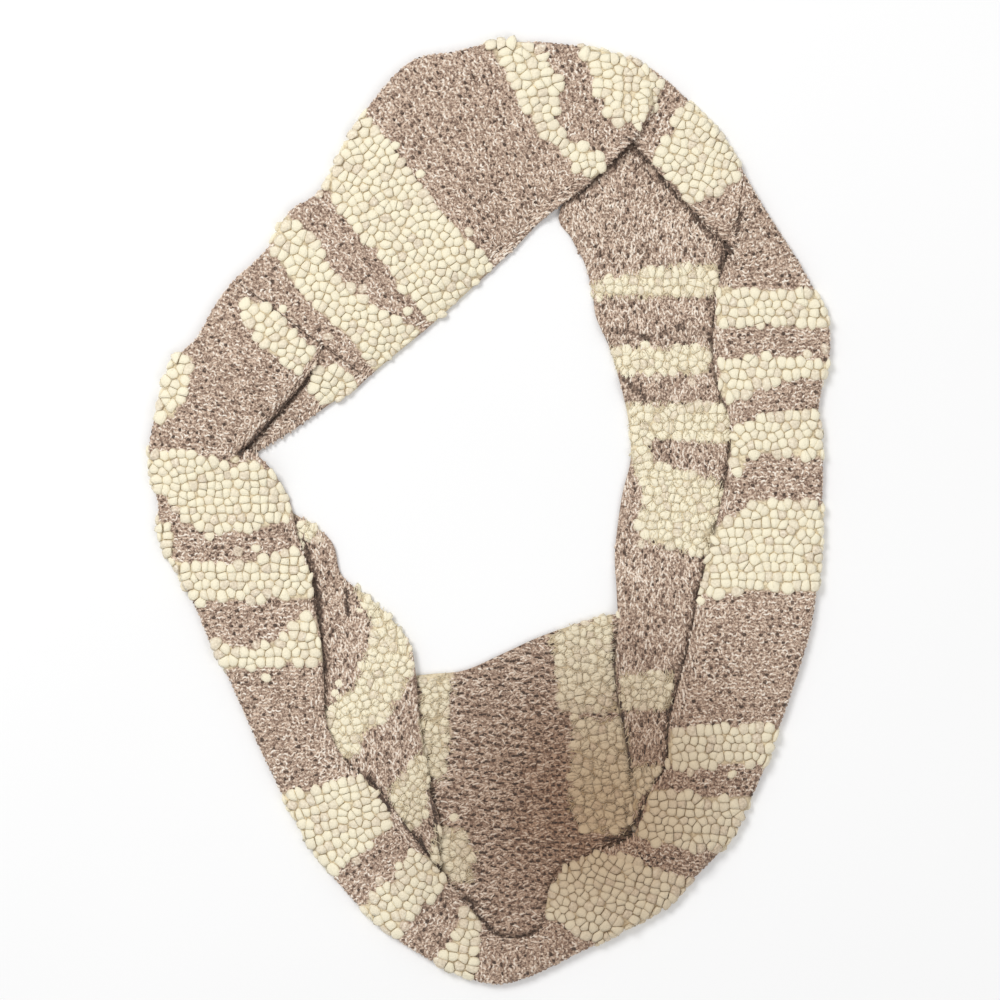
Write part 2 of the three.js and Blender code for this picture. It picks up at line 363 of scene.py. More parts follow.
# Outlines of the cream stripes on the table plane, as they show on the bobbled side.
CREAM_BOBBLED: Outlines = [
    [(60, 347), (70, 330), (77, 311), (84, 294), (94, 284), (108, 283), (121, 294), (127, 306),
     (127, 317), (112, 335), (81, 344)],
    [(-3, 348), (-3, 342), (9, 325), (17, 308), (29, 288), (34, 275), (50, 270), (60, 253), (70, 247),
     (78, 241), (86, 252), (87, 262), (72, 269), (56, 276), (47, 288), (53, 298), (54, 312),
     (49, 324), (35, 339), (24, 348)],
    [(-97, 299), (-81, 279), (-63, 257), (-47, 236), (-34, 220), (-20, 205), (-4, 190), (4, 180),
     (-10, 166), (-22, 150), (-43, 134), (-51, 148), (-69, 164), (-80, 187), (-97, 203),
     (-110, 217), (-123, 241), (-118, 257), (-109, 272)],
    [(-151, 223), (-130, 201), (-118, 181), (-99, 162), (-79, 147), (-49, 136), (-53, 120),
     (-72, 107), (-85, 98), (-93, 110), (-102, 124), (-120, 138), (-129, 151), (-149, 170),
     (-163, 198)],
    [(-184, 151), (-176, 158), (-163, 151), (-150, 140), (-143, 130), (-131, 121), (-126, 117),
     (-135, 104), (-143, 100), (-152, 107), (-163, 116), (-173, 128), (-180, 140)],
    [(-238, 118), (-227, 119), (-217, 111), (-219, 97), (-225, 79), (-232, 66), (-248, 66),
     (-251, 78), (-244, 97)],
    [(-130, 106), (-118, 108), (-105, 102), (-94, 95), (-96, 85), (-110, 76), (-122, 77), (-132, 90)],
    [(-255, 45), (-226, 46), (-210, 42), (-198, 36), (-188, 32), (-183, 37), (-174, 41), (-160, 29),
     (-149, 12), (-142, -4), (-158, -12), (-180, -16), (-200, -18), (-222, -11), (-235, 3),
     (-241, 11), (-254, 17)],
    [(-250, -4), (-240, -6), (-232, -16), (-230, -31), (-238, -34), (-246, -24)],
    [(-244, -25), (-236, -34), (-215, -39), (-195, -39), (-170, -34), (-143, -27), (-131, -42),
     (-127, -58), (-126, -69), (-160, -66), (-190, -69), (-215, -69), (-229, -52), (-242, -32)],
    [(-210, -94), (-190, -98), (-170, -99), (-151, -91), (-143, -78), (-127, -75), (-122, -98),
     (-119, -112), (-150, -115), (-175, -117), (-199, -119)],
    [(-160, -206), (-130, -204), (-118, -199), (-104, -195), (-90, -196), (-82, -208), (-71, -224),
     (-72, -233), (-83, -242), (-95, -250), (-110, -264), (-124, -274), (-144, -238)],
    [(-97, -294), (-85, -280), (-75, -274), (-66, -265), (-59, -250), (-50, -249), (-39, -256),
     (-30, -265), (-29, -274), (-42, -285), (-52, -295), (-60, -304), (-72, -319), (-88, -308)],
    [(-42, -335), (-30, -318), (-26, -302), (-20, -290), (-10, -292), (-6, -300), (-8, -320),
     (-12, -346), (-25, -343)],
    [(38, -298), (38, -283), (50, -267), (58, -259), (75, -249), (100, -253), (125, -262),
     (153, -274), (134, -295), (113, -308), (82, -323), (70, -315), (55, -306)],
    [(102, -243), (113, -222), (112, -208), (118, -202), (150, -207), (180, -209), (198, -209),
     (190, -226), (174, -252), (140, -248)],
    [(128, -189), (129, -160), (160, -157), (190, -157), (220, -159), (214, -173), (208, -187),
     (170, -189), (150, -191)],
    [(151, -65), (155, -40), (160, -9), (175, -6), (186, 2), (200, 11), (250, 6), (250, -24),
     (247, -61), (200, -61), (175, -63)],
    [(176, 27), (188, 24), (191, 39), (220, 39), (250, 37), (248, 76), (220, 76), (200, 70),
     (185, 63), (174, 62)],
    [(166, 111), (168, 81), (188, 83), (205, 91), (228, 96), (250, 95), (255, 112), (200, 115)],
    [(164, 135), (200, 135), (254, 133), (244, 166), (200, 164), (166, 168)],
    [(137, 295), (150, 303), (170, 283), (187, 257), (180, 240), (166, 232), (146, 222), (131, 247),
     (118, 260), (123, 269), (132, 277), (136, 290)],
]

# The same on the smooth side, where the lower layer shows.
CREAM_SMOOTH: Outlines = [
    [(75, 156), (74, 169), (95, 174), (120, 180), (168, 183), (172, 158)],
    [(87, 121), (87, 103), (96, 100), (163, 101), (163, 122)],
    [(97, 79), (102, 56), (106, 25), (112, 20), (112, 5), (108, -10), (112, -22), (130, -28),
     (148, -32), (164, -34), (175, -12), (180, 10), (165, 26), (140, 31), (120, 38), (118, 53),
     (180, 49), (180, 79)],
    [(96, -120), (136, -118), (136, -147), (94, -149)],
    [(108, -187), (130, -187), (118, -205), (108, -215)],
    [(42, -92), (60, -84), (91, -75), (93, -110), (93, -148), (60, -150), (50, -148), (48, -112)],
    [(60, -153), (100, -152), (104, -180), (110, -200), (112, -215), (106, -230), (98, -240),
     (70, -238), (58, -220), (60, -190)],
    [(-53, -121), (-28, -119), (-30, -150), (-31, -190), (-35, -200), (-48, -200), (-52, -160)],
    [(-40, -232), (-20, -235), (-11, -250), (-12, -275), (-28, -276), (-40, -262), (-46, -252)],
    [(-142, -10), (-133, -5), (-125, -12), (-128, -22), (-140, -22)],
    [(-102, -56), (-88, -62), (-68, -76), (-58, -98), (-57, -117), (-60, -130), (-68, -139),
     (-73, -152), (-84, -158), (-92, -166), (-99, -182), (-108, -186), (-122, -165), (-124, -150),
     (-114, -138), (-100, -130), (-97, -115), (-89, -100), (-87, -85), (-94, -72)],
    [(-52, -175), (-64, -191), (-76, -206), (-72, -226), (-60, -237), (-46, -226), (-45, -195)],
]

# Colours of the yarns in daylight, and of painted shade: the shade ply, the gap cream and the shadow.
PALE_PLY = (255, 246, 233)
TAUPE_PLY = (225, 202, 181)
BROWN_PLY = (152, 126, 109)
SHADE_PLY = (78, 61, 50)
CREAM = (250, 241, 214)
WARM_CREAM = (238, 224, 192)
GAP_SHADE_CREAM = (166, 147, 115)
SHADOW_COLOUR = (186, 166, 150)
WHITE = (1.0, 1.0, 1.0, 1.0)

# Ramps of the yarns and the floor, from the colour of the lowest value up.
MARL_RAMP: Stops = [(0.04, SHADE_PLY), (0.3, BROWN_PLY), (0.5, TAUPE_PLY), (0.76, PALE_PLY)]
THREAD_RAMP: Stops = [(0.3, WARM_CREAM), (0.7, CREAM)]
# Painted shade: the bobble ramp darkens the low points of each bobble, in the gaps between them.
BOBBLE_SHADE_RAMP: Stops = [(0.48, GAP_SHADE_CREAM), (0.65, WARM_CREAM), (0.77, CREAM)]
FLECK_RAMP: Stops = [(0.3, BROWN_PLY), (0.55, TAUPE_PLY), (0.7, PALE_PLY)]
# Painted shade: the ground that shows between stitches and bobbles is coloured darker.
SHADED_MARL_RAMP: Stops = [(0.28, SHADE_PLY), (0.45, BROWN_PLY), (0.68, TAUPE_PLY)]
SHADED_CREAM_RAMP: Stops = [(0.2, GAP_SHADE_CREAM), (0.6, WARM_CREAM)]
FLOOR_RAMP: Stops = [(0.3, (248, 248, 248)), (0.7, (250, 250, 250))]

# The middle and reach of a painted shadow, which makes the yarn darker and more beige.
SHADOW_MIDDLE = (76, -220)
SHADOW_REACH = 200.0


def linear(colour: Colour) -> tuple[float, float, float, float]:
    """Turn a colour of three bytes into the shader's linear colour, by the sRGB curve.

    Args:
        colour: red, green and blue from 0 to 255.

    Returns:
        The linear red, green and blue from 0 to 1, and an alpha of 1.
    """
    shares = [value / 255 for value in colour]
    light = [s / 12.92 if s <= 0.04045 else ((s + 0.055) / 1.055) ** 2.4 for s in shares]
    return (*light, 1.0)


def smooth(t: np.ndarray) -> np.ndarray:
    """Ease a share from 0 to 1, held at both ends."""
    held = np.clip(t, 0, 1)
    return held * held * (3 - 2 * held)


def unit(vectors: np.ndarray) -> np.ndarray:
    """Scale vectors to a length of one."""
    return vectors / np.maximum(np.linalg.norm(vectors, axis=-1, keepdims=True), TINY)


def nearness(line: Crease | HollowShade, x: np.ndarray, y: np.ndarray) -> np.ndarray:
    """Tell how near places are to a line.

    Args:
        line: the line, with its width.
        x: places on the table, to the right.
        y: places on the table, away from the viewer.

    Returns:
        One where a place is on the line, and less the further away it is.
    """
    run = np.subtract(line.end, line.start)
    dx, dy = x - line.start[0], y - line.start[1]
    share = np.clip((dx * run[0] + dy * run[1]) / (run @ run), 0, 1)
    gap = np.hypot(dx - share * run[0], dy - share * run[1])
    return np.exp(-((gap / line.width) ** 2))


def relief(layer: Layer, x: np.ndarray, y: np.ndarray) -> np.ndarray:
    """Add up what a layer's creases and ridges add to its height at each place."""
    own = [crease.height * nearness(crease, x, y) for crease in CREASES if crease.layer is layer]
    return sum(own, np.zeros_like(x))


def hollow_shade(x: np.ndarray, y: np.ndarray) -> np.ndarray:
    """Tell how much painted shade places get from the hollow lines, from 0 to 1."""
    return np.max([line.depth * nearness(line, x, y) for line in HOLLOW_SHADES], axis=0)


def edge_shade(past_edge: np.ndarray) -> np.ndarray:
    """Tell how much the upper layer's edge shades places, by their distance past it."""
    return EDGE_DEPTH * np.exp(-((np.maximum(past_edge, 0) / EDGE_SHADE) ** 2))


def covered(outlines: Outlines, x: np.ndarray, y: np.ndarray) -> np.ndarray:
    """Tell which places lie in any of the outlines.

    Args:
        outlines: closed outlines on the table plane.
        x: places to the right.
        y: places away from the viewer.

    Returns:
        True where a place is inside.
    """
    found = np.zeros(x.shape, dtype=bool)
    for outline in outlines:
        crossed = np.zeros(x.shape, dtype=bool)
        for (ax, ay), (bx, by) in zip(outline, outline[1:] + outline[:1]):
            if ay == by:
                continue
            spans = (ay > y) != (by > y)
            crossed ^= spans & (x < ax + (y - ay) * (bx - ax) / (by - ay))
        found |= crossed
    return found


def well_inside(outlines: Outlines, x: np.ndarray, y: np.ndarray, margin: float) -> np.ndarray:
    """Tell which places lie in an outline and keep off its border.

    Args:
        outlines: closed outlines on the table plane.
        x: places to the right.
        y: places away from the viewer.
        margin: how far they keep off.

    Returns:
        True where a place is well inside.
    """
    found = covered(outlines, x, y)
    for dx, dy in ((margin, 0), (-margin, 0), (0, margin), (0, -margin)):
        found &= covered(outlines, x + dx, y + dy)
    return found


def rows_at(rows: np.ndarray, stations: np.ndarray) -> np.ndarray:
    """Interpolate the table of rows: places on a spline, heights eased.

    Args:
        rows: one line of twelve numbers for each course.
        stations: where along the table rows are wanted, counted in courses.

    Returns:
        One line of twelve numbers for each station.
    """
    last = len(rows) - 1
    low = np.minimum(stations.astype(int), last - 1)
    t = (stations - low)[:, None]
    a, b = rows[np.maximum(low - 1, 0)], rows[low]
    c, d = rows[low + 1], rows[np.minimum(low + 2, last)]
    curve = 0.5 * (2 * b + (c - a) * t + (2 * a - 5 * b + 4 * c - d) * t**2
                   + (3 * b - a - 3 * c + d) * t**3)
    eased = b + (c - b) * smooth(t)
    return np.hstack([curve[:, :PLACES], eased[:, PLACES:]])


@dataclass
class Spots:
    """Places on the cloth where a stitch or bobble sits, with the directions there."""

    place: np.ndarray
    out: np.ndarray
    along: np.ndarray
    across: np.ndarray
    spread: np.ndarray
    cream: np.ndarray
    course: np.ndarray
    wale: np.ndarray
    past_edge: np.ndarray
    from_hem: np.ndarray

    def take(self, mask: np.ndarray) -> "Spots":
        """Keep only the spots where the mask is true."""
        return Spots(**{name: values[mask] for name, values in vars(self).items()})

    def ways(self, number: int) -> np.ndarray:
        """Find the ways from each spot to its nearest neighbours.

        Args:
            number: how many neighbours.

        Returns:
            A way for each spot and neighbour.
        """
        gaps = np.linalg.norm(self.place[:, None, :] - self.place[None], axis=2)
        nearest = np.argsort(gaps, axis=1)[:, 1:number + 1]
        return self.place[nearest] - self.place[:, None, :]

    def __len__(self) -> int:
        """Count the spots."""
        return len(self.place)


class Surface:
    """The middle of a stretch's wall as a grid of points.

    The first index runs along the loop and the second across the band, from the lower
    layer's edge round the fold to the upper layer's edge.
    """

    def __init__(self, courses: list[Course], inset: float) -> None:
        """Sample the surface.

        Args:
            courses: the stretch's rows, in order along the loop.
            inset: how far the fold stays inside its outline.
        """
        self.inset = inset
        rows = np.array([course.values() for course in courses])
        fine = np.linspace(0, len(rows) - 1, SAMPLES * (len(rows) - 1) + 1)
        middle = rows_at(rows, fine)[:, :4].reshape(-1, 2, 2).mean(axis=1)
        travelled = np.concatenate([[0], np.cumsum(np.hypot(*np.diff(middle, axis=0).T))])
        self.length = float(travelled[-1])
        count = round(self.length / GROUND_CELL) + 1
        even = np.linspace(0, self.length, count)
        self.points = self._fold(rows_at(rows, np.interp(even, travelled, fine)))
        along = np.gradient(self.points, axis=0)
        across = np.gradient(self.points, axis=1)
        out = unit(np.cross(across, along))
        if out[:, self.fold_end:, 2].sum() < 0:
            out = -out
        pace = np.linalg.norm(along, axis=-1, keepdims=True) * (count - 1) / self.length
        self.values = np.concatenate([self.points, out, unit(along), unit(across), pace], axis=-1)
        steps = np.linalg.norm(np.diff(self.points, axis=1), axis=-1)
        self.reach = np.hstack([np.zeros((count, 1)), np.cumsum(steps, axis=1)])

    def _fold(self, rows: np.ndarray) -> np.ndarray:
        """Lay each row out across the band.

        Args:
            rows: one line of twelve numbers for each station.

        Returns:
            The grid of points.
        """
        outer, edge, inner, knee = (rows[:, None, i:i + 2] for i in range(0, PLACES, 2))
        lap, rise, drop, puff = (rows[:, i:i + 1] for i in range(PLACES, PLACES + HEIGHTS))
        outer = outer + unit(edge - outer) * self.inset
        edge = edge + unit(knee - edge) * EDGE_INSET
        inner = inner + unit(outer - inner) * EDGE_INSET
        under_way, top_way, lap_way = unit(inner - outer), unit(knee - outer), unit(edge - knee)
        under_length = np.linalg.norm(inner - outer, axis=-1)
        knee_length = np.linalg.norm(knee - outer, axis=-1)
        top_length = knee_length + np.linalg.norm(edge - knee, axis=-1)
        radius = FOLD_RADIUS - WALL / 2

        def lifted(s: np.ndarray) -> np.ndarray:
            """Height gained from what lies below, at a distance from the fold."""
            return rise * smooth(s / (CLIMB * under_length))

        count = math.ceil(under_length.max() / GROUND_CELL)
        s = under_length + (FOLD_RADIUS - under_length) * np.linspace(0, 1, count + 1)
        place = outer + under_way * s[..., None]
        height = lifted(s) + WALL / 2 + relief(Layer.LOWER, place[..., 0], place[..., 1])
        under = np.concatenate([place, height[..., None]], axis=-1)

        share = np.arange(1, FOLD_POINTS + 1) / (FOLD_POINTS + 1)
        angle = np.pi * (share - 0.5)
        way = under_way + (top_way - under_way) * share[None, :, None]
        place = outer + way * (FOLD_RADIUS - radius * np.cos(angle))[None, :, None]
        height = np.broadcast_to(FOLD_RADIUS + radius * np.sin(angle), place.shape[:2])
        fold = np.concatenate([place, height[..., None]], axis=-1)

        count = math.ceil(top_length.max() / GROUND_CELL)
        share = np.linspace(0, 1, count + 1)[None, :]
        s = FOLD_RADIUS + (top_length - FOLD_RADIUS) * share
        past = (s > knee_length)[..., None]
        lapped = knee + lap_way * (s - knee_length)[..., None]
        place = np.where(past, lapped, outer + top_way * s[..., None])
        x, y = place[..., 0], place[..., 1]
        seat = 2 * FOLD_RADIUS - WALL + (2 * WALL + SLACK - 2 * FOLD_RADIUS) * smooth(share * 2)
        fallen = smooth((s - top_length + HEM_STEP + FALL_START) / (HEM_STEP + FALL_LENGTH))
        fall = drop * (WALL + SLACK) * fallen
        wave = np.sin(x / WAVES[0] + y / WAVES[1]) * np.cos(y / WAVES[2] - 1)
        crown = puff * np.sin(np.pi * share) ** CROWN * (1 + WAVE * wave)
        height = seat + WALL / 2 + lifted(s) + lap * smooth(share / KNEE_AT) + crown - fall
        height += relief(Layer.UPPER, x, y)
        top = np.concatenate([place, height[..., None]], axis=-1)

        self.fold_start = under.shape[1]
        self.fold_end = self.fold_start + FOLD_POINTS
        self.fold_middle = (self.fold_start + self.fold_end) // 2
        return np.concatenate([under, fold, top], axis=1)

    def area(self) -> float:
        """Measure the area of the middle surface.

        Returns:
            The area in square millimetres.
        """
        along = np.diff(self.points, axis=0)[:, :-1]
        across = np.diff(self.points, axis=1)[:-1]
        return float(np.linalg.norm(np.cross(along, across), axis=-1).sum())

    def width(self) -> float:
        """Measure the mean width across the band, round the fold."""
        return float(self.reach[:, -1].mean())

    def shown(self, reach: np.ndarray) -> np.ndarray:
        """Measure how wide the lower layer shows beyond the upper layer's edge."""
        start, end = reach[..., self.fold_start], reach[..., self.fold_end]
        return start - (reach[..., -1] - end)

    def at(self, j: np.ndarray, k: np.ndarray) -> np.ndarray:
        """Read the surface between its points.

        Args:
            j: places along the loop, counted in points.
            k: places across the band, counted in points.

        Returns:
            Place, outward, along and across directions and pace, thirteen numbers each.
        """
        grid = self.values
        j = np.clip(j, 0, grid.shape[0] - JUST_INSIDE)
        k = np.clip(k, 0, grid.shape[1] - JUST_INSIDE)
        low_j, low_k = j.astype(int), k.astype(int)
        t, u = (j - low_j)[:, None], (k - low_k)[:, None]
        first = grid[low_j, low_k] * (1 - u) + grid[low_j, low_k + 1] * u
        second = grid[low_j + 1, low_k] * (1 - u) + grid[low_j + 1, low_k + 1] * u
        return first * (1 - t) + second * t

    def _span(self, side: Side, reach: np.ndarray) -> Range:
        """Tell where across the band a side runs.

        Args:
            side: the face of the cloth.
            reach: distances of one row's points from the lower edge.

        Returns:
            The lowest and highest distance from the lower edge.
        """
        if side is Side.BOBBLED:
            return reach[self.fold_middle] - ROUND_FOLD, reach[-1]
        if side is Side.TABLE:
            return 0, reach[self.fold_middle] - ROUND_FOLD
        shown = self.shown(reach)
        return 0, min(shown + BELOW_EDGE, reach[self.fold_start]) if shown > 0 else 0

    def cream_at(
        self, side: Side, j: np.ndarray, k: np.ndarray, margin: float = 0.0
    ) -> np.ndarray:
        """Tell where the yarn is cream.

        Args:
            side: the face of the cloth.
            j: places along the loop, counted in points.
            k: places across the band, counted in points.
            margin: how far inside a cream stripe a place has to lie.

        Returns:
            True where the yarn is cream.
        """
        x, y = self.at(j, k)[:, :2].T
        if side is Side.SMOOTH:
            return well_inside(CREAM_SMOOTH, x, y, margin)
        if side is Side.BOBBLED:
            return well_inside(CREAM_BOBBLED, x, y, margin)
        low = np.clip(j.astype(int), 0, len(self.reach) - 1)
        columns = np.arange(self.reach.shape[1])
        here = np.array([np.interp(b, columns, self.reach[a]) for a, b in zip(low, k)])
        mirrored = 2 * self.reach[low, self.fold_middle] - here
        beyond = mirrored > self.reach[low, -1]
        back = np.array([np.interp(m, self.reach[a], columns) for a, m in zip(low, mirrored)])
        above_x, above_y = self.at(j, back)[:, :2].T
        over = well_inside(CREAM_BOBBLED, above_x, above_y, margin)
        return np.where(beyond, covered(CREAM_SMOOTH, x, y), over)

    def lattice(
        self, side: Side, pitch: Point, wobble: float, rng: np.random.Generator,
        loose: float = 0.0, margin: float = 0.0,
    ) -> Spots:
        """Spread spots over one side, in staggered courses.

        Args:
            side: the face of the cloth.
            pitch: how far apart courses lie, and spots in a course.
            wobble: how far a spot strays from its place.
            rng: the source of the straying.
            loose: how much courses slip against each other, as a share of the pitch.
            margin: how far inside a cream stripe a spot counts as cream.

        Returns:
            The spots.
        """
        stations, columns, courses, wales, gaps, hems = [], [], [], [], [], []
        scale = (len(self.reach) - 1) / self.length
        number = max(1, round(self.length / pitch[0]))
        for quarter in range(QUARTERS * (number - 1) + 1):
            j = (quarter / QUARTERS + 0.5) * (len(self.reach) - 1) / number
            low, share = int(j), j - int(j)
            reach = self.reach[low] * (1 - share) + self.reach[low + 1] * share
            start, stop = self._span(side, reach)
            stagger = quarter // QUARTERS % 2 / 2 + quarter % QUARTERS / QUARTERS + FIRST_SPOT
            stagger += rng.uniform(-loose, loose)
            steps = np.arange(stagger * pitch[1], stop - start, pitch[1])
            places = (stop - steps) if side is Side.BOBBLED else (start + steps)
            places = places + rng.normal(0, wobble, len(places))
            stations.append(j + rng.normal(0, wobble * scale, len(places)))
            columns.append(np.interp(places, reach, np.arange(len(reach))))
            courses.append(np.full(len(places), quarter))
            wales.append(np.arange(len(places)))
            gaps.append(self.shown(reach) - places)
            hems.append(steps)
        j, k = np.concatenate(stations), np.concatenate(columns)
        courses, wales, gaps, hems = (np.concatenate(each) for each in (courses, wales, gaps, hems))
        found = self.at(j, k)
        spread = found[:, 12] * self.length / (number * pitch[0])
        shares = np.select([spread > VERY_WIDE, spread > WIDE], [QUARTERS, QUARTERS // 2], 1)
        out = unit(found[:, 3:6]) * (-1 if side is Side.SMOOTH else 1)
        across = unit(found[:, 9:12] - out * (found[:, 9:12] * out).sum(axis=1, keepdims=True))
        spots = Spots(
            place=found[:, 0:3],
            out=out,
            along=np.cross(out, across),
            across=across,
            spread=np.clip(spread / shares, NARROWEST, WIDE),
            cream=self.cream_at(side, j, k, margin),
            course=courses // QUARTERS,
            wale=wales,
            past_edge=gaps if side is Side.SMOOTH else np.full(len(j), np.inf),
            from_hem=hems,
        )
        return spots.take(courses % (QUARTERS // shares) == 0)


class Signal:
    """A number from a shader node, for use in Python expressions."""

    def __init__(self, graph: "Graph", socket: bpy.types.NodeSocket) -> None:
        """Wrap a socket of a graph."""
        self.graph = graph
        self.socket = socket

    def _math(self, operation: str, first: Any, second: Any) -> "Signal":
        """Add a Math node on two signals or numbers."""
        node = self.graph.add("ShaderNodeMath", {"operation": operation}, {0: first, 1: second})
        return Signal(self.graph, node.outputs[0])

    def __add__(self, other: Any) -> "Signal":
        """Add a signal or number."""
        return self._math("ADD", self, other)

    def __sub__(self, other: Any) -> "Signal":
        """Subtract a signal or number."""
        return self._math("SUBTRACT", self, other)

    def __rsub__(self, other: Any) -> "Signal":
        """Subtract from a number."""
        return self._math("SUBTRACT", other, self)

    def __mul__(self, other: Any) -> "Signal":
        """Multiply by a signal or number."""
        return self._math("MULTIPLY", self, other)

    __radd__ = __add__
    __rmul__ = __mul__


class Graph:
    """The node tree of one material."""

    def __init__(self, name: str) -> None:
        """Start a material with nothing in its tree.

        Args:
            name: the material's name.
        """
        self.material = bpy.data.materials.new(name)
        self.material.use_nodes = True
        self.tree = self.material.node_tree
        self.tree.nodes.clear()

    def add(self, kind: str, settings: dict[str, Any], inputs: dict[Any, Any]) -> bpy.types.Node:
        """Add a node.

        Args:
            kind: the node's type.
            settings: its settings, set first; stops are those of a colour ramp.
            inputs: the values or links of its sockets, by name or number.

        Returns:
            The node.
        """
        node = self.tree.nodes.new(kind)
        for name, value in settings.items():
            if name == "stops":
                self._set_stops(node, value)
            else:
                setattr(node, name, value)
        for name, value in inputs.items():
            socket = value.socket if isinstance(value, Signal) else value
            if isinstance(socket, bpy.types.NodeSocket):
                self.tree.links.new(socket, node.inputs[name])
            else:
                node.inputs[name].default_value = socket
        return node

    def _set_stops(self, node: bpy.types.Node, stops: Stops) -> None:
        """Give a colour ramp its stops.

        Args:
            node: the ramp.
            stops: its positions and colours, lowest first.
        """
        elements = node.color_ramp.elements
        while len(elements) < len(stops):
            elements.new(1)
        for element, (position, colour) in zip(elements, stops):
            element.position = position
            element.color = linear(colour)

    def place(self) -> bpy.types.NodeSocket:
        """Read the object's own coordinates."""
        return self.add("ShaderNodeTexCoord", {}, {}).outputs["Object"]

    def attribute(self, name: str) -> Signal:
        """Read a number that the mesh holds at its points."""
        node = self.add("ShaderNodeAttribute", {"attribute_name": name}, {})
        return Signal(self, node.outputs["Fac"])

    def noise(self, size: float, detail: float = 2.0) -> Signal:
        """Make noise around a half, with spots of a size in millimetres."""
        inputs = {"Vector": self.place(), "Scale": 1 / (size * MM), "Detail": detail}
        return Signal(self, self.add("ShaderNodeTexNoise", {}, inputs).outputs[0])

    def ramp(self, signal: Signal, stops: Stops) -> bpy.types.NodeSocket:
        """Colour a signal by a ramp."""
        return self.add("ShaderNodeValToRGB", {"stops": stops}, {"Fac": signal}).outputs["Color"]

    def mix(self, share: Any, first: Any, second: Any, blend: str = "MIX") -> bpy.types.NodeSocket:
        """Mix two colours by a share."""
        inputs = {0: share, MIX_FIRST: first, MIX_SECOND: second}
        return self.add(
            "ShaderNodeMix", {"data_type": "RGBA", "blend_type": blend}, inputs
        ).outputs[MIX_RESULT]

    def painted_shadow(self, colour: bpy.types.NodeSocket) -> bpy.types.NodeSocket:
        """Paint a soft shadow round one place of the scarf, darker and more beige.

        Args:
            colour: the colour.

        Returns:
            The colour in the painted shadow.
        """
        middle = (SHADOW_MIDDLE[0] * MM, SHADOW_MIDDLE[1] * MM, 0)
        inputs = {0: self.place(), 1: middle}
        away = self.add("ShaderNodeVectorMath", {"operation": "DISTANCE"}, inputs)
        inputs = {"Value": away.outputs["Value"], "From Min": SHADOW_REACH * MM, "From Max": 0.0}
        near = self.add("ShaderNodeMapRange", {"interpolation_type": "SMOOTHSTEP"}, inputs)
        return self.mix(near.outputs["Result"], colour, linear(SHADOW_COLOUR), "MULTIPLY")

    def bump(self, signal: Signal, strength: float, depth: float) -> bpy.types.NodeSocket:
        """Make a relief of a signal, with the height of 1 in millimetres."""
        inputs = {"Strength": strength, "Distance": depth * MM, "Height": signal}
        return self.add("ShaderNodeBump", {}, inputs).outputs["Normal"]

    def finish(self, inputs: dict[str, Any]) -> bpy.types.Material:
        """Close the graph with its shader.

        Args:
            inputs: the shader's sockets.

        Returns:
            The material.
        """
        shader = self.add("ShaderNodeBsdfPrincipled", {}, inputs)
        self.add("ShaderNodeOutputMaterial", {}, {"Surface": shader.outputs[0]})
        return self.material


@dataclass(frozen=True)
class MarledYarn:
    """Thin yarn of pale, taupe and brown plies, with cream threads where a stitch is cream."""

    ply: float = 1.7
    ply_share: float = 1.25
    tint_share: float = 0.34
    darker: float = 0.3
    thread: float = 2.6
    twist: float = 0.9
    strength: float = 0.5
    depth: float = 0.5
    roughness: float = 0.85
    sheen: float = 0.15

    def material(self) -> bpy.types.Material:
        """Make the finish.

        Returns:
            The material.
        """
        graph = Graph("marled_yarn")
        # The tint is a random tone, less painted shade along hollows and edges and in holes.
        tone = graph.attribute("tint") * self.tint_share + graph.noise(self.ply) * self.ply_share
        marl = graph.ramp(tone - self.darker, MARL_RAMP)
        pale = graph.ramp(graph.noise(self.thread), THREAD_RAMP)
        colour = graph.mix(graph.attribute("cream"), marl, pale)
        return graph.finish({
            "Base Color": graph.painted_shadow(colour),
            "Roughness": self.roughness,
            "Sheen Weight": self.sheen,
            "Normal": graph.bump(graph.noise(self.twist), self.strength, self.depth),
        })


@dataclass(frozen=True)
class BobbleYarn:
    """Soft cream yarn, with painted shade down in the gaps between bobbles, its edge frayed by noise.
    """

    strand: float = 1.3
    fray: float = 1.6
    fray_share: float = 0.7
    shade_share: float = 0.3
    darker: float = 0.32
    detail: float = 3.0
    fleck: float = 1.9
    strength: float = 0.8
    depth: float = 1.0
    roughness: float = 0.9
    sheen: float = 0.2

    def material(self) -> bpy.types.Material:
        """Make the finish.

        Returns:
            The material.
        """
        graph = Graph("bobble_yarn")
        # Painted shade: the low points of a bobble and the hollow lines turn the cream to the gap
        # shade.
        depth = graph.attribute("depth") - graph.attribute("shade") * self.shade_share
        depth = depth + graph.noise(self.fray, self.detail) * self.fray_share - self.darker
        fleck = graph.ramp(graph.noise(self.fleck), FLECK_RAMP)
        colour = graph.mix(graph.attribute("taupe"), graph.ramp(depth, BOBBLE_SHADE_RAMP), fleck)
        strands = graph.noise(self.strand, self.detail)
        return graph.finish({
            "Base Color": graph.painted_shadow(colour),
            "Roughness": self.roughness,
            "Sheen Weight": self.sheen,
            "Normal": graph.bump(strands, self.strength, self.depth),
        })


